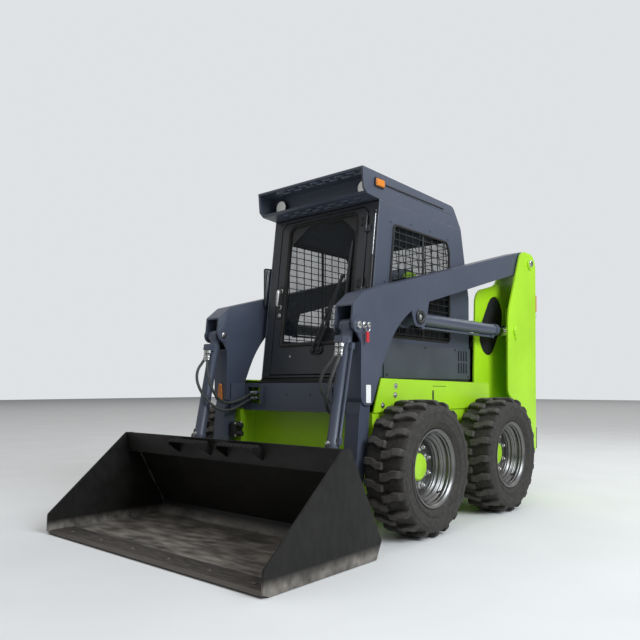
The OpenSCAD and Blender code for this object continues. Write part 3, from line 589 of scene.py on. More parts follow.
# Finish, width of the eased edges in millimetres, nodes
NODE_FINISHES = (
    ("green", 3, "chassis_tub rear_posts rear_door"),
    ("green", 2, "fenders"),
    ("slate", 3, "cab_sides cab_rear cab_roof lift_arms cross_beam hood"),
    ("slate", 2, "lift_barrels tilt_barrels"),
    # The cab's front parts take the darker slate as painted shade.
    ("shaded_slate", 3, "cab_front door_frame"),
    ("black", 3, "engine_block rear_bumper coupler seat_base"),
    ("black", 0, "axle_housings window_screens cab_floor"),
    ("bucket", 3, "bucket_shell"),
    ("bucket", 2, "bucket_steps"),
    ("edge", 2, "cutting_edge"),
    ("pin", 2, "pivot_pins boom_pins"),
    ("chrome", 0, "lift_rods tilt_rods"),
    ("rim", 2, "wheel_front_left wheel_front_right wheel_rear_left wheel_rear_right"),
    ("plastic", 3, "controls"),
    ("plastic", 2, "side_mirror"),
    ("cover", 2, "side_covers"),
    ("glass", 0, "window_glass door_glass"),
    ("amber", 2, "marker_lamps"),
)


def dress_nodes():
    """Gives the CAD nodes their materials and eased edges, whose lighter edge copy is partly worn paint and
    partly painted highlight.
    """
    for finish, width, names in NODE_FINISHES:
        for name in names.split():
            materials = NODES[name].data.materials
            materials.clear()
            materials.append(MATERIALS[finish])
            materials.append(MATERIALS.get(finish + "_edge", MATERIALS[finish]))
            if width:
                ease_edges(NODES[name].modifiers, width)


def ease_edges(modifiers, width):
    """Rounds a node's sharp edges and gives them its second material."""
    weld = modifiers.new("weld", "WELD")
    weld.merge_threshold = 0.00002
    flat = modifiers.new("flat_faces", "DECIMATE")
    flat.decimate_type = "DISSOLVE"
    flat.angle_limit = math.radians(0.4)
    bevel = modifiers.new("eased_edges", "BEVEL")
    bevel.width = width / 1000
    bevel.segments = 2
    bevel.limit_method = "ANGLE"
    bevel.angle_limit = math.radians(35)
    bevel.material = 1


# Hoses: off the cylinder's middle, station, height, from the port to the beam
HOSE_R = 9
HOSE_FACETS = 14
HOSE_ROUTES = {
    "upper": (0.683, (
        (-15, -473, 1074), (-15, -481, 1035), (-26, -497, 997), (-46, -514, 961), (-68, -526, 924),
        (-85, -530, 884), (-94, -520, 843), (-95, -498, 806), (-92, -469, 776), (-88, -433, 754),
        (-86, -392, 742), (-88, -349, 742), (-94, -308, 751), (-106, -272, 766), (-128, -245, 784),
        (-154, -229, 799), (-180, -222, 806), (-205, -222, 806))),
    "lower": (0.772, (
        (15, -473, 1074), (15, -481, 1035), (19, -503, 1000), (22, -529, 965), (17, -547, 924),
        (4, -555, 882), (-13, -553, 842), (-31, -543, 804), (-50, -526, 769), (-67, -502, 737),
        (-80, -470, 712), (-87, -430, 696), (-88, -387, 692), (-88, -345, 697), (-93, -305, 711),
        (-105, -271, 730), (-127, -245, 749), (-153, -229, 764), (-180, -222, 770), (-205, -222, 770))),
}


def ferrule(name, start, along, body):
    """A crimped hose end: nut, neck and ridged sleeve."""
    place = face_frame(start, along)
    sleeve = [[0, 14], [8, 14], [8, 18], [12.5, 19], [12.5, 30], [11.6, 32], [12.5, 34], [12.5, 48],
              [11.6, 50], [12.5, 52], [12.5, 62], [11, 65], [0, 65]]
    nut = prism(hexagon(15), moved(place, 0, 0, -6), 20, 2)
    return piece(name, [lathe(sleeve, place, 24), nut], "fitting", body)


def mark_length(obj, path):
    """Gives each point of a hose's mesh its length along the path."""
    along = obj.data.attributes.new("along", "FLOAT", "POINT")
    length = 0.0
    for i, place in enumerate(path):
        length += (place - path[max(i - 1, 0)]).length
        for j in range(HOSE_FACETS):
            along.data[i * HOSE_FACETS + j].value = length


def hoses():
    """Two hoses a side from the tilt cylinder's port block to the cross beam."""
    for side_name, side in SIDES:
        for place, (length, route) in HOSE_ROUTES.items():
            points = [at(side * (CYL_X + x), s, z) for x, s, z in route]
            path = smooth_path(points, 5)
            name = f"hose_{side_name}_{place}"
            obj = piece(name + "_tube", [tube(path, HOSE_R / 1000, HOSE_FACETS)], "hose", None)
            mark_length(obj, path)
            ends = [
                ferrule(name + "_port_end", points[0], points[1] - points[0], "tilt_barrel_pair"),
                ferrule(name + "_beam_end", points[-1], points[-2] - points[-1], "boom"),
            ]
            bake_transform(obj)
            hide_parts(name)


# Wheels
def hub_frame(side, station, turn):
    """A frame in millimetres at a wheel's middle, whose Z runs along the axle."""
    place = Matrix.Translation(at(side * HUB_X, station, TYRE_R))
    return place @ Matrix.Rotation(turn * math.pi / 2, 4, "Y") @ MILLIMETRES


def tyre_carcass(frame_matrix):
    """The tyre under its lugs, turned from bead to crown and back."""
    r, w = TYRE_R, TYRE_W / 2
    rim_side = [[1, 92], [10, 99], [20, 108], [30, 119], [42, 122], [45, 125], [50, w - 7], [52, w - 4],
                [58, w - 4], [60, w - 7], [84, w - 4], [102, w - 3.5], [105, w - 0.8], [117, w - 0.8],
                [120, w - 3.5]]
    half = [[RIM_R + up, across] for up, across in rim_side]
    half += [[r - 46, w - 4], [r - 36, w - 8], [r - 29, w - 20]]
    half += [[r - LUG_H - 2, w - 38], [r - LUG_H - 1, 60], [r - LUG_H, 0]]
    return lathe(half + [[a, -b] for a, b in half[-2::-1]], frame_matrix, 128)


def tyre_lug(turn, flip):
    """One hooked lug as a loft from the tyre's middle to its shoulder."""
    r, w = TYRE_R, TYRE_W / 2
    base = r - LUG_H - 6
    # across, top radius, ends round the tyre
    rows = ((-7, base, 4, 37), (-6, r - 4, 2, 39), (-3, r, 0, 41), (30, r, -2, 40),
            (52, r - 0.3, -14, 26), (66, r - 0.5, -21, 19), (w - 34, r - 2, -22, 19), (w - 20, r - 6, -22, 19),
            (w - 11, r - 17, -21, 18), (w - 7, r - 32, -19, 16), (w - 9, r - 44, -17, 14))
    rings = []
    for across, top, start, end in rows:
        rounded_off = across > w - 24
        foot = top - 22 if rounded_off else min(base, top - 12)
        inner = across - 12 if rounded_off else across
        ring = []
        for u, radius, x in ((start - 2, foot, inner), (start, top - 3, across), (start + 3.5, top, across),
                             (end - 3.5, top, across), (end, top - 3, across), (end + 2, foot, inner)):
            angle = turn + u / r
            ring.append((radius * math.cos(angle), radius * math.sin(angle), flip * x))
        rings.append(ring)
    return loft(rings, open_rings=True)


def tyre(name, side, station):
    """A detailed tyre: ribbed carcass and two rows of hooked lugs half a pitch apart."""
    frame_matrix = hub_frame(side, station, 1)
    parts = [tyre_carcass(frame_matrix)]
    pitch = 2 * math.pi / LUG_COUNT
    for i in range(LUG_COUNT):
        for half in (0, 1):
            points, faces = tyre_lug((i + half / 2) * pitch, side * (1 - 2 * half))
            parts.append(([frame_matrix @ Vector(p) for p in points], faces))
    obj = piece("tyre_tread_" + name, parts, "tyre", name + "_wheel", sharp=40)
    hub = at(side * HUB_X, station, TYRE_R)
    crown = obj.data.attributes.new("crown", "FLOAT", "POINT")
    for i, vertex in enumerate(obj.data.vertices):
        reach = 1000 * math.hypot(vertex.co.y - hub.y, vertex.co.z - hub.z)
        crown.data[i].value = max(0.0, min(1.0, (reach - TYRE_R + 14) / 10))
    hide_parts("tyre_" + name)


def wheel_trim(name, side, station):
    """Hub cap, wheel nuts with their studs, rolled ridges of the rim and the valve."""
    body = name + "_wheel"
    hub = hub_frame(side, station, side)
    cap = [[76, -17], [78.5, -17], [78.5, -1], [77, 2], [70, 8.2], [62, 9.6], [58, 8.8], [55, 10], [0, 11]]
    piece("hub_cap_" + name, [lathe(cap, hub, 56)], "green", body)
    nuts = []
    for i in range(NUT_COUNT):
        angle = 2 * math.pi * (i + 0.5) / NUT_COUNT
        place = moved(hub, NUT_R * math.cos(angle), NUT_R * math.sin(angle), DISC_FACE)
        nuts.append(lathe([[0, 0], [25, 0], [25, 2], [18, 6], [0, 6]], place, 24))
        nuts.append(prism(hexagon(16.5), place, 20, 3))
        nuts.append(lathe([[0, 19], [9, 19], [9, 28], [7, 30], [0, 30]], place, 16))
    piece("wheel_nuts_" + name, nuts, "fitting", body)
    ridges = []
    for r, z in ((201, 80), (187, 53), (174, 36), (168, 12), (168, -2)):
        ridges.append(lathe([[r, z + 7], [r - 5, z + 4], [r - 6, z], [r - 5, z - 4], [r, z - 7]], hub, 96))
    ridges.append(lathe([[216, 107], [218, 111], [221.5, 111], [222.5, 107]], hub, 96))
    piece("rim_ridges_" + name, ridges, "rim", body, sharp=60)
    stem = moved(hub @ Matrix.Rotation(math.radians(side * 35), 4, "Z"), side * 188, 0, 52)
    stem = stem @ Matrix.Rotation(math.radians(side * -24), 4, "Y")
    valve = lathe([[0, 0], [6, 0], [6, 14], [4, 16], [4, 30], [5, 31], [5, 40], [0, 41]], stem, 14)
    piece("valve_" + name, [valve], "gasket", body, "tyre_rubber")


# Cab
DOOR_HALF = 290
DOOR_LOW = 220
DOOR_HIGH = 1046
# Cuts of the right and the left upper corner, as width and height
PANE_CUTS = ((34, 34), (34, 34))
BORDER_CUTS = ((150, 112), (104, 96))
BORDER_GAP = 4
BORDER_W = 16
GRIP_X = -323
HINGES = (120, 559, 950)
HINGE_X = 363
TAIL_LAMP_X = 582
TAIL_LAMP_S = 1968
TAIL_DEPTH = 64


def side_bolts(name, places, x, r, finish):
    """Bolt heads on both sides of the chassis, on faces square to X, at (station, height)."""
    parts = []
    for side in BOTH:
        parts += bolts([at(side * x, s, z) for s, z in places], (side, 0, 0), r)
    piece(name, parts, finish)


def pane_outline(inset, cuts, r):
    """The outline of the door's pane on the screen, set in from its edge."""
    x, low, high = DOOR_HALF - inset, DOOR_LOW + inset, DOOR_HIGH - inset
    (right_x, right_z), (left_x, left_z) = cuts
    return rounded([(-x, low), (x, low), (x, high - left_z), (x - left_x, high), (right_x - x, high),
                    (-x, high - right_z)], r)


def ring_plate(outer, inner, front, back):
    """A thin closed plate on the door's screen, between two outlines with as many points each."""
    rings = []
    for outline, depth in ((outer, front), (inner, front), (inner, back), (outer, back)):
        rings.append([screen_point(p.x, depth, p.y) for p in outline])
    return loft(rings, wrap=True)


def pane_border():
    """Black enamel border of the door's pane, wide at the two upper corners."""
    outer = pane_outline(BORDER_GAP, PANE_CUTS, 22)
    inner = pane_outline(BORDER_GAP + BORDER_W, BORDER_CUTS, 16)
    piece("pane_border", [ring_plate(outer, inner, -9.8, -11.4)], "black", "front_door", "dark_plastic")


def window_seals():
    """Rubber seals round the door's pane, the side windows and the rear window."""
    path = [screen_point(p.x, -5, p.y) for p in pane_outline(0, PANE_CUTS, 22)]
    piece("door_pane_seal", [tube(path, 0.011, 12, True)], "gasket", "front_door")
    window = rounded([(110, 1160), (894, 1160), (894, 1800), (861, 1866), (202, 1866)], 28)
    for name, side in SIDES:
        path = [at(side * (CAB_X + 1), p.x, p.y) for p in window]
        piece(f"side_window_seal_{name}", [tube(path, 0.009, 10, True)], "gasket")
    path = [at(p.x, rear_wall_s(p.y) + 1, p.y) for p in rounded(box(-330, 1560, 330, 1930), 28)]
    piece("rear_window_seal", [tube(path, 0.009, 10, True)], "gasket")


def rear_screen():
    """Wire screen inside the rear window."""
    half, low, high = 345, 1552, 1938
    wires = []
    for i in range(-5, 6):
        wires.append(tube([at(62 * i, rear_wall_s(z) - 24, z) for z in (low, high)], 0.0028, 8))
    for i in range(8):
        z = 1570 + 50 * i
        wires.append(tube([at(x, rear_wall_s(z) - 29, z) for x in (-half, half)], 0.0028, 8))
    edge = rounded(box(-half, low, half, high), 12)
    wires.append(tube([at(p.x, rear_wall_s(p.y) - 25, p.y) for p in edge], 0.009, 8, True))
    piece("rear_window_screen", wires, "black")


def wiper():
    """Two-link wiper on the door: motor caps, arms, bow and rubber blade."""
    feet = ((14, 178), (58, 184))
    top = (214, 640)
    low, high = (238, 452), (262, 866)
    shares = [k / 10 for k in range(11)]
    parts = []
    for foot, lift in zip(feet, (24, 18)):
        line = []
        for t in shares:
            x, v = between(foot, top, t)
            line.append(screen_point(x, lift - 6 * t, v))
        parts.append(tube(line, 0.007, 10))
        cap = [[0, -26], [17, -26], [17, -4], [14, 2], [8, 5], [0, 6]]
        parts.append(lathe(cap, on_screen(foot[0], lift, foot[1]), 24))
    joint = [[0, -10], [12, -10], [12, 6], [9, 9], [0, 10]]
    parts.append(lathe(joint, on_screen(top[0], 16, top[1]), 20))
    spine, bow, rubber_line = [], [], []
    for t in shares:
        x, v = between(low, high, t)
        spine.append(screen_point(x, 1, v))
        bow.append(screen_point(x, 3 + 11 * math.sin(math.pi * t), v))
        rubber_line.append(screen_point(x, -6, v))
    parts.append(tube(spine, 0.006, 8))
    parts.append(tube(bow, 0.0035, 8))
    parts.append(plate(104, 52, 24, on_screen(36, -2, 181), 14, 4))
    obj = piece("wiper_arms", parts, "plastic", "front_door")
    piece("wiper_rubber", [tube(rubber_line, 0.006, 8)], "gasket", "front_door")
    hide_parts("door_handle")


def door_furniture():
    """Handle, lock, hinges and screws of the door."""
    line = ((2, 487), (20, 489), (31, 500), (33, 520), (33, 566), (31, 586), (20, 597), (2, 599))
    grip = [tube(smooth_path([screen_point(GRIP_X, out, v) for out, v in line], 4), 0.0115, 14)]
    for v in (487, 599):
        grip.append(lathe([[0, 0], [17, 0], [17, 4], [13, 7], [0, 7]], on_screen(GRIP_X, -2, v), 24))
    piece("door_grip", grip, "fitting", "front_door")
    piece("door_grip_plate", [plate(46, 230, 14, on_screen(GRIP_X, -2, 520), 5, 2)], "plastic", "front_door")
    leaves = []
    for v in HINGES:
        barrel = face_frame(screen_point(HINGE_X, 8, v), UP, OUT)
        leaves.append(lathe([[4.3, 0], [9, 0], [9, 60], [4.3, 60]], barrel, 24))
        leaves.append(plate(46, 58, 6, on_screen(HINGE_X - 26, -2, v + 30), 5, 1.5))
        leaves += bolts([screen_point(HINGE_X - 34, 3, v + height) for height in (14, 46)], OUT, 5)
    piece("door_hinges", leaves, "black", "front_door")
    lock = [[0, 0], [15, 0], [15, 5], [12, 8], [4, 8], [3, 6], [0, 6]]
    piece("door_lock", [lathe(lock, on_screen(GRIP_X, -2, 430), 24)], "fitting", "front_door")
    screws = bolts([screen_point(x, -2, 146) for x in (-194, 194)], OUT, 5)
    piece("door_screws", screws, "fitting", "front_door")


def pillar_stay():
    """Slim gas strut on the left front pillar, with its end balls."""
    low, high = (424, 2, 530), (426, 2, 1030)
    foot, neck, head = (screen_point(*between(low, high, t)) for t in (0, 0.45, 1))
    parts = [tube([foot, neck], 0.009, 14)]
    for end in (foot, head):
        parts.append(dome(end - 0.008 * OUT, OUT, 12, 22))
    piece("pillar_strut_body", parts, "black")
    piece("pillar_strut_rod", [tube([neck, head], 0.0038, 12)], "pin")


def work_lamps():
    """Round lamps under the visor: housing, bezel, and a lens whose colour and emission paint the light of a
    bright bowl.
    """
    housing = [[0, 0.5], [30, 0.5], [44, 6], [44, 13], [50, 15], [50, 25], [48, 27], [44.5, 27], [43.5, 20],
               [0, 19]]
    front = [[43.4, 21], [43.4, 23], [38, 24.5], [24, 26], [10, 26.6], [0, 26.8]]
    places = [spot(side * 352, 28, ROOF_Z - 83, FRONT) for side in BOTH]
    housings, lenses = ([lathe(profile, place, 48) for place in places] for profile in (housing, front))
    obj = piece("work_lamp_housings", housings, "plastic")
    # These lenses carry painted light for the bright bowl behind them.
    piece("work_lamp_lenses", lenses, "lamp")
    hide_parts("work_lamps")


def lamp_trim():
    """Lenses of the roof markers and tail lamps, their bezel rings, and a black line behind each roof marker
    that paints the shadow under the roof's lip.
    """
    bezels_and_shadow_lines, clear, amber = [], [], []
    for side in BOTH:
        roof = rounded(box(-4, 2065, 86, 2115), 10)
        bezels_and_shadow_lines.append(tube([at(side * (CAB_X + 3), p.x, p.y) for p in roof], 0.005, 8, True))
        amber.append(plate(86, 46, 8, spot(side * CAB_X, 41, 2090, (side, 0, 0)), 17, 6))
        # Painted shadow: a black line along the cab side for the shade under the roof's overhang.
        bezels_and_shadow_lines.append(tube([at(side * (CAB_X + 1), s, 2094) for s in (112, 815)], 0.005, 8))
        tail = rounded(box(537, 1397, 623, 1603), 10)
        bezels_and_shadow_lines.append(tube([at(side * p.x, 1952, p.y) for p in tail], 0.006, 8, True))
        for lenses, z, height in ((amber, 1529, 142), (clear, 1427, 52)):
            place = spot(side * TAIL_LAMP_X, TAIL_LAMP_S, z, BACK)
            lenses.append(plate(82, height, 10, place, TAIL_DEPTH, 8))
        bezels_and_shadow_lines.append(tube([at(side * x, TAIL_LAMP_S + 2, 1456) for x in (542, 618)], 0.004, 8))
    piece("lamp_bezels_and_shadow_lines", bezels_and_shadow_lines, "gasket")
    # The clear tail lenses carry the same painted bowl light.
    piece("tail_lamp_clear", clear, "lamp")
    piece("amber_lenses", amber, "amber")


def mirror_glass():
    """Reflecting pane in the folded mirror."""
    turn = math.radians(-15)
    face = Vector((math.cos(turn), math.sin(turn), 0))
    place = face_frame(at(-CAB_X - 19, 0, 1530) + 0.0045 * face, face)
    piece("mirror_pane", [plate(66, 248, 12, place, 2, 0.8)], "mirror")


def cab_details():
    """Screws round the side windows and on the side covers, and the roof's lining."""
    windows = ((80, 1190), (100, 1500), (170, 1880), (400, 1905), (640, 1905), (880, 1890), (925, 1700),
               (925, 1400), (925, 1190))
    covers = ((110, 1105), (110, 920), (560, 1108), (960, 1108), (1160, 918))
    side_bolts("window_screws", windows, CAB_X, 5, "slate")
    side_bolts("cover_screws", covers, CAB_X + 9, 5, "black")
    lining = spot(0, 470, ROOF_Z - 42, (0, 0, -1), BACK)
    piece("roof_lining", [prism(round_rect(800, 800, 60, 8), lining, 14, 6)], "foam")


def sill_shadow_strip():
    """Ribbed rubber angle over the top edge of the front wall, below the door; its black paints the shadow
    between the door and the cross beam.
    """
    half = CAB_X - 8
    outline = [(-126, 846), (-126, 881), (-100, 881), (-100, 884), (-130, 884), (-133, 881)]
    for i in reversed(range(7)):
        outline += [(-134.5, 852 + 4.4 * i), (-133, 850 + 4.4 * i)]
    # Painted shadow: this black strip stands for the shade between the door and the cross beam.
    piece("sill_shadow_strip", [extrude(outline, spot(-half, 0, 0, LEFT), 2 * half)], "gasket")


def stick_boots():
    """Bellows at the foot of each control stick and a seam on each grip."""
    profile = [[0, 0.5], [40, 0.5]]
    for i in range(5):
        profile += [[40 - 5 * i, 4 + 9 * i], [34 - 5 * i, 9 + 9 * i]]
    profile += [[13, 50], [0, 50]]
    parts = []
    for side in BOTH:
        foot = spot(side * 345, 500, 1239, TOP, BACK)
        parts.append(lathe(profile, foot, 32))
        parts.append(lathe([[20.5, 112], [22.5, 115], [20.8, 118]], foot, 24))
    piece("stick_boots", parts, "gasket")


# Boom, cylinders and chassis
def boom_pins():
    """Heads and bosses of the pins in the arms, and two screws in the cross beam."""
    heads, bosses = [], []
    for side in BOTH:
        out = (side, 0, 0)
        for x, aim in ((ARM_OUT + 15, side), (ARM_IN - 13, -side)):
            heads.append(dome(at(side * x, *TILT_TOP), (aim, 0, 0), 20.5, 9))
        heads.append(dome(at(side * (POST_OUT + 17), *BOOM_PIVOT), out, 27.5, 7))
        disc = [[22.4, 0], [46, 0], [46, 9], [42, 13], [30, 14], [26, 11], [22.4, 11]]
        bosses.append(lathe(disc, spot(side * ARM_OUT, *LIFT_ARM_PIN, out), 40))
        heads += bolts([at(side * (ARM_OUT + 6), *LIFT_ARM_PIN)], out, 8)
        collar = [[20.4, 0], [38, 0], [38, 6], [34, 9], [20.4, 9]]
        bosses.append(lathe(collar, spot(side * ARM_OUT, *TILT_TOP, out), 36))
    piece("boom_pin_heads", heads, "fitting", "boom")
    piece("boom_bosses", bosses, "black", "boom")
    piece("beam_screws", bolts([at(x, -213, 800) for x in (-95, 105)], FRONT, 6), "slate", "boom")


def boom_details():
    """Reflector on the right leg, and the lock pin with its tag and the blank label on the left arm."""
    shape = rounded([(-24, -54), (24, -54), (14, 54), (-14, 54)], 10)
    piece("leg_reflector", [prism(shape, spot(-CYL_X, -366, 812, FRONT), 6, 3)], "amber", "boom")
    s, z = LOCK_PIN
    ring = []
    for k in range(16):
        turn = k * math.pi / 8
        ring.append(at(ARM_OUT + 24, s + 19 * math.sin(turn), z - 19 + 19 * math.cos(turn)))
    end = at(ARM_OUT + 30, s, z)
    lock = [tube([at(ARM_OUT - 2, s, z), end], 0.010, 16), tube(ring, 0.0022, 8, True)]
    lock.append(dome(end, LEFT, 15, 8))
    lock.append(lathe([[0, 0], [19, 0], [19, 4], [15, 7], [0, 7]], spot(ARM_OUT, s, z, LEFT), 28))
    piece("lock_pin", lock, "fitting", "boom")
    piece("lock_pin_tag", [plate(24, 62, 8, spot(ARM_OUT + 20, s, z - 66, LEFT), 6, 2)], "red", "boom")
    piece("arm_label", [plate(44, 100, 5, spot(ARM_OUT, -297, 806, LEFT), 0.9, 0.4)], "white", "boom")


def valve_block():
    """Auxiliary coupling block on the inside of the right leg."""
    place = spot(-ARM_IN, -300, 566, LEFT)
    parts = [plate(72, 100, 8, place, 44, 4)]
    port = [[0, 0], [17, 0], [17, 10], [14, 12], [14, 24], [18, 25], [18, 33], [15, 36], [0, 36]]
    for y in (-26, 26):
        parts.append(lathe(port, moved(place, 0, y, 42), 24))
    piece("coupling_block", parts, "black", "boom")
    screws = bolts([place @ Vector((x, y, 44)) for x in (-26, 26) for y in (-40, 40)], LEFT, 6)
    piece("coupling_screws", screws, "fitting", "boom")


def cylinder_details():
    """Gland rings and bleed fittings on the tilt cylinders."""
    rings, fittings = [], []
    for side in BOTH:
        axis = tilt_point(side, 0, 1000) - tilt_point(side, 0, 0)
        gland = face_frame(tilt_point(side, 0, 690), axis, LEFT)
        rings.append(lathe([[18.4, -1], [36, -1], [36, 4], [33, 7], [24, 8], [21, 6], [18.4, 6]], gland, 40))
        base = tilt_point(side, 38, 655)
        fittings += bolts([base], tilt_point(side, 100, 655) - base, 8)
        fittings.append(tube([base, tilt_point(side, 54, 655)], 0.006, 12))
    piece("tilt_gland_rings", rings, "black", "tilt_barrel_pair")
    piece("tilt_bleed_fittings", fittings, "fitting", "tilt_barrel_pair")


def fender_details():
    """Bolts and slot of the fender panels, and a dark fold line that paints the shade in the fold."""
    side_bolts("fender_bolts", ((-24, 850), (-29, 797), (-155, 739)), FENDER_X, 10, "fitting")
    slots_and_fold_shade = []
    for side in BOTH:
        place = spot(side * (FENDER_X - 0.5), 397, 793, (side, 0, 0))
        slots_and_fold_shade.append(plate(18, 62, 8, place, 2, 0.6))
        # Painted shade: a thin dark line for the shade in the panel's fold.
        fold = [at(side * (FENDER_X + 0.2), s, z) for s, z in ((392, 850), (560, 848))]
        slots_and_fold_shade.append(tube(fold, 0.0016, 6))
    piece("fender_slots_and_fold_shade", slots_and_fold_shade, "gasket")


def bay_shade_sheets():
    """Near-black sheets behind the posts' openings and along the engine bay, which paint the shade inside
    them.
    """
    centre = Vector((1500, 1320))
    along = Vector((120, 170)).normalized()
    across = Vector((along.y, -along.x))
    radius, half_length, steps = 172, 104, 40
    opening = []
    for k in range(steps):
        turn = 2 * math.pi * k / steps
        reach = radius * math.cos(turn) + math.copysign(half_length, math.cos(turn))
        opening.append(centre + (along * reach + across * radius * math.sin(turn)))
    parts = []
    for side in BOTH:
        place = face_frame(at(side * 462, 0, 0), (side, 0, 0))
        for outline in (opening, box(1225, 220, 1925, 1060)):
            parts.append(prism([(side * s, z) for s, z in outline], place, 3.6, 0.8))
    # These sheets paint the shade seen through the openings and along the bay.
    piece("bay_shade_sheets", parts, "painted_shade_black")


def radiator():
    """Cooling core behind the rear door: finned tubes between two tanks."""
    core = [(0, 1872, 716 + 22 * i, 720, 9, 4, 26, 1) for i in range(24)]
    core.append((0, 1876, 970, 716, 530, 4, 14, 1))
    tanks = [(0, 1864, z, 760, 52, 14, 42, 6) for z in (692, 1250)]
    cheeks = [(x, 1866, 970, 22, 560, 4, 38, 3) for x in (-372, 372)]
    parts = []
    for x, s, z, width, height, corner, depth, chamfer in core + tanks + cheeks:
        parts.append(plate(width, height, corner, spot(x, s, z, BACK), depth, chamfer))
    piece("radiator", parts, "black")


ENGINE_TOP = 1080
ENGINE_SHELF = 900
ROCKER_S = 1580
CANISTER_X = 325


def rocker_cover():
    """Cast cover on the engine's top: flange with bolts, ribbed dome and filler cap."""
    flange = spot(0, ROCKER_S, ENGINE_TOP, TOP, BACK)
    parts = [plate(210, 360, 24, flange, 30, 4)]
    parts.append(plate(150, 324, 30, moved(flange, 0, 0, 29), 42, 12))
    for i in range(7):
        parts.append(plate(112, 9, 4, moved(flange, 0, -120 + 40 * i, 70), 6, 2))
    places = [at(x, ROCKER_S + step, ENGINE_TOP + 30) for x in (-90, 90) for step in (-155, 0, 155)]
    piece("rocker_cover", parts + bolts(places, TOP, 8), "cast")
    cap = [[0, 0], [22, 0], [22, 8], [30, 10], [30, 26], [26, 30], [0, 30]]
    piece("oil_cap", [lathe(cap, moved(flange, 0, 142, 70), 32)], "plastic")


def canister(side, profile):
    """A canister that lies along the machine in two cradles on the engine's shelf."""
    parts = [lathe(profile, spot(side * CANISTER_X, 1430, 1002, BACK), 48)]
    for station in (1490, 1690):
        parts.append(plate(104, 50, 6, spot(side * 306, station, ENGINE_SHELF + 22, BACK), 24, 3))
    return parts


def engine_dress():
    """What stands on the engine under the hood: rocker cover, air cleaner, muffler and their pipes."""
    rocker_cover()
    can = [[0, 0], [60, 0], [72, 8], [72, 60], [76, 64], [76, 76], [72, 80], [72, 250], [78, 254], [78, 268],
           [72, 272], [72, 318], [60, 330], [0, 330]]
    piece("air_cleaner", canister(1, can), "plastic")
    drum = [[0, 0], [64, 5], [78, 14], [78, 40], [81, 42], [81, 50], [78, 52], [78, 300], [81, 302], [81, 310],
            [78, 312], [78, 340], [64, 349], [0, 354]]
    tail = ((1775, 1002), (1812, 1004), (1836, 1030), (1842, 1080), (1842, 1190))
    parts = canister(-1, drum)
    parts.append(tube(smooth_path([at(-CANISTER_X, s, z) for s, z in tail]), 0.024, 20))
    for station in (1490, 1600, 1710):
        parts.append(tube([at(-212, station, 1012), at(-264, station, 1012)], 0.026, 20))
    piece("muffler", parts, "scale")
    engine_duct("intake_duct", ((325, 1440, 1002), (325, 1396, 1006), (290, 1362, 1032), (220, 1350, 1074),
                                (150, 1360, 1106), (100, 1392, 1116), (70, 1440, 1112)), 30)
    engine_duct("coolant_pipe", ((170, 1870, 1246), (170, 1838, 1240), (162, 1802, 1206), (138, 1772, 1152),
                                 (104, 1742, 1114), (70, 1700, 1106)), 22)


def engine_duct(name, route, radius):
    """A moulded ribbed duct through the engine bay."""
    path = smooth_path([at(*place) for place in route])
    obj = piece(name, [tube(path, radius / 1000, HOSE_FACETS)], "hose")
    mark_length(obj, path)


def post_pins():
    """Ends of the lift cylinders' pins on the posts, each held by a keeper plate and its bolt."""
    s, z = LIFT_POST_PIN
    parts = []
    for side in BOTH:
        out = (side, 0, 0)
        pin = [[0, 0], [26, 0], [26, 10], [22, 14], [8, 14], [6, 11], [0, 11]]
        parts.append(lathe(pin, spot(side * POST_OUT, s, z, out), 32))
        parts.append(plate(30, 62, 12, spot(side * POST_OUT, s + 4, z - 40, out), 7, 2))
        parts += bolts([at(side * (POST_OUT + 7), s + 4, z - 54)], out, 8)
    piece("post_pin_ends", parts, "green")


def rear_details():
    """Latch and hinge bolts of the rear door, handle of the hood, and bumper bolts."""
    face = 1970
    piece("rear_latch_plate", [plate(64, 120, 12, spot(-400, face, 900, BACK), 5, 2)], "black", "back_door")
    pull = ((4, 862), (18, 866), (22, 890), (22, 910), (18, 934), (4, 938))
    path = smooth_path([at(-400, face + out, z) for out, z in pull], 4)
    piece("rear_latch_pull", [tube(path, 0.006, 12)], "fitting", "back_door")
    hinges = bolts([at(438, face + 7, z) for z in (615, 655, 1195, 1235)], BACK, 6)
    piece("rear_hinge_bolts", hinges, "fitting", "back_door")
    grip = ((-70, 1338), (-68, 1356), (-50, 1362), (50, 1362), (68, 1356), (70, 1338))
    path = smooth_path([at(x, 1890, z) for x, z in grip], 4)
    piece("hood_grip", [tube(path, 0.007, 12)], "plastic", "engine_hood")
    places = [at(x, 1990, z) for x in (-560, -520, 520, 560) for z in (385, 475)]
    piece("bumper_bolts", bolts(places, BACK, 9), "fitting")


def bucket_details():
    """Plough bolts in the edge, weld beads inside the corners and grease nipples on the pivots."""
    heads = [dome(at(side * x, -1290, 19), TOP, 16, 6) for x in (150, 450, 750) for side in BOTH]
    piece("edge_bolts", heads, "edge", "bucket")
    corner = ((-1205, 17), (-1000, 17), (-800, 17), (-620, 18), (-580, 92), (-660, 243), (-740, 395),
              (-806, 520))
    beads, nipples = [], []
    for side in BOTH:
        beads.append(bead(smooth_path([at(side * 874, s, z) for s, z in corner], 40), 0.006))
        for x, r, h in ((CYL_X + 76, 24, 6), (CYL_X + 81, 6, 10)):
            nipples.append(dome(at(side * x, *BUCKET_PIVOT), (side, 0, 0), r, h))
    piece("bucket_welds", beads, "bucket_edge", "bucket", sharp=60)
    piece("bucket_pin_heads", nipples, "fitting", "boom")


# Seat
SEAT_GAP = 6
CLOTH_CAP = 0.010


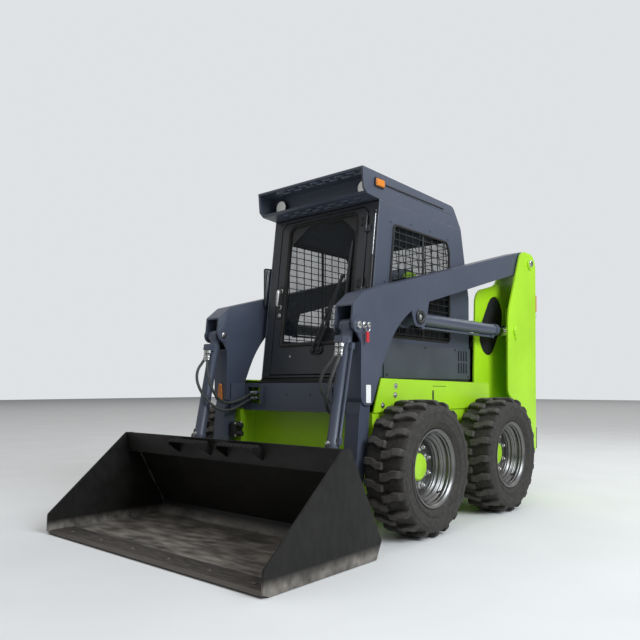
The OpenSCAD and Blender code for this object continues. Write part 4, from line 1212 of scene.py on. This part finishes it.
def pad(name, outline, half_width, crown_axis, seams, node):
    """A padded cushion inside its CAD solid, blown up as cloth, with sewn channels."""
    side = [Vector(p) for p in rounded(outline, 34, 6)]
    middle = sum(side, Vector((0, 0))) / len(side)
    edge = half_width - SEAT_GAP
    rings = []
    for x, inset in ((-edge, 26), (8 - edge, 12), (34 - half_width, 5),
                     (half_width - 34, 5), (edge - 8, 12), (edge, 26)):
        ring = [p - (p - middle).normalized() * (inset + SEAT_GAP) for p in side]
        rings.append([at(x, q.x, q.y) for q in ring])
    obj = piece(name, [loft(rings)], "seat", None, sharp=180)
    remesh = obj.modifiers.new("voxels", "REMESH")
    remesh.mode = "VOXEL"
    remesh.voxel_size = 0.006
    apply_modifiers(obj)
    blow_up(obj)
    sew(obj, crown_axis, seams)
    soft = obj.modifiers.new("soften", "SUBSURF")
    soft.levels = 1
    soft.render_levels = 1
    obj.data.shade_smooth()
    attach(obj, "chassis")
    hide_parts(node)


def apply_modifiers(obj):
    """Bakes an object's modifiers into its mesh."""
    graph = bpy.context.evaluated_depsgraph_get()
    mesh = bpy.data.meshes.new_from_object(obj.evaluated_get(graph))
    obj.modifiers.clear()
    obj.data = mesh


def blow_up(obj):
    """Runs cloth under pressure, then keeps each point within the cap of where it started."""
    start = [v.co.copy() for v in obj.data.vertices]
    cloth = obj.modifiers.new("cloth", "CLOTH")
    cloth.settings.use_pressure = True
    cloth.settings.uniform_pressure_force = 4
    cloth.settings.effector_weights.gravity = 0
    scene = bpy.context.scene
    for step in range(1, 21):
        scene.frame_set(step)
    apply_modifiers(obj)
    scene.frame_set(1)
    for vertex, before in zip(obj.data.vertices, start):
        move = vertex.co - before
        if move.length > CLOTH_CAP:
            vertex.co = before + move.normalized() * CLOTH_CAP


def sew(obj, crown_axis, seams):
    """Presses sewn channels into the side that faces along the crown axis."""
    normals = [v.normal.copy() for v in obj.data.vertices]
    for vertex, normal in zip(obj.data.vertices, normals):
        facing = max(0.0, normal.dot(crown_axis) - 0.35) / 0.65
        if facing <= 0:
            continue
        depth = 0.0
        for axis, place in seams:
            gap = (vertex.co[axis] - place) * 1000
            depth = max(depth, 8 * math.exp(-(gap / 9) ** 2))
        vertex.co -= normal * depth * facing / 1000


def seat():
    """Cushion and backrest, each with sewn channels along and across."""
    up = Vector((0, -0.03, 1)).normalized()
    forward = Vector((0, -1, 0.08)).normalized()
    base_s = MID_STATION / 1000
    pad("seat_pad", [(500, 1080), (985, 1080), (985, 1190), (500, 1205)], 235, up,
        ((0, -0.15), (0, 0.15), (1, 0.60 - base_s), (1, 0.72 - base_s), (1, 0.84 - base_s)), "seat_cushion")
    pad("back_pad", [(890, 1206), (999, 1206), (1040, 1700), (945, 1700)], 230, forward,
        ((0, -0.145), (0, 0.145), (2, 1.32), (2, 1.44), (2, 1.56)), "seat_back")


# Floor and light
FLOOR_HALF = 40
WHITE_LIGHT = (1, 1, 1)
COOL_LIGHT = (0.86, 0.93, 1.0)
# name, place, aim, size, power, colour
LAMPS = (
    ("ceiling", (5, 8, 18), (5, 8, 0), 60, 6000, WHITE_LIGHT),
    ("key", (8.6, -0.4, 6.6), (0.3, 0.2, 0.9), 5.0, 860, COOL_LIGHT),
    ("fill", (-3.5, -5.0, 3.5), (0, -0.8, 0.6), 4.0, 14, WHITE_LIGHT),
    ("back", (1.0, 5.5, 5.5), (0, 0.5, 1.2), 3.5, 80, WHITE_LIGHT),
)


def studio_world():
    """An even soft sky that shows as a pale backdrop."""
    world = bpy.data.worlds.new("studio")
    world.use_nodes = True
    nodes, links = world.node_tree.nodes, world.node_tree.links
    light = nodes["Background"]
    light.inputs["Color"].default_value = (0.93, 0.96, 1.0, 1)
    light.inputs["Strength"].default_value = 0.23
    backdrop = nodes.new("ShaderNodeBackground")
    backdrop.inputs["Color"].default_value = (0.74, 0.76, 0.78, 1)
    path = nodes.new("ShaderNodeLightPath")
    choose = nodes.new("ShaderNodeMixShader")
    links.new(path.outputs["Is Camera Ray"], choose.inputs["Fac"])
    links.new(light.outputs["Background"], choose.inputs[1])
    links.new(backdrop.outputs["Background"], choose.inputs[2])
    links.new(choose.outputs["Shader"], nodes["World Output"].inputs["Surface"])
    bpy.context.scene.world = world


def stage():
    """A pale floor and soft studio light, stronger from the machine's left."""
    corners = [(x, y, 0) for x, y in box(-FLOOR_HALF, -FLOOR_HALF, FLOOR_HALF, FLOOR_HALF)]
    piece("floor", [(corners, [[0, 1, 2, 3]])], "floor", None)
    studio_world()
    for name, place, aim, size, power, colour in LAMPS:
        data = bpy.data.lights.new(name, "AREA")
        data.size = size
        data.energy = power
        data.color = colour
        lamp = bpy.data.objects.new(name, data)
        lamp.location = place
        lamp.rotation_euler = (Vector(aim) - Vector(place)).to_track_quat("-Z", "Y").to_euler()
        bpy.context.scene.collection.objects.link(lamp)


camera()
hoses()
dress_nodes()
for wheel_name, wheel_side, wheel_station in WHEELS:
    tyre(wheel_name, wheel_side, wheel_station)
    wheel_trim(wheel_name, wheel_side, wheel_station)
window_seals()
pane_border()
rear_screen()
door_furniture()
wiper()
pillar_stay()
work_lamps()
lamp_trim()
mirror_glass()
cab_details()
sill_shadow_strip()
stick_boots()
boom_pins()
boom_details()
valve_block()
cylinder_details()
fender_details()
bay_shade_sheets()
radiator()
engine_dress()
post_pins()
rear_details()
bucket_details()
seat()
stage()
bpy.context.scene.view_settings.view_transform = "Standard"
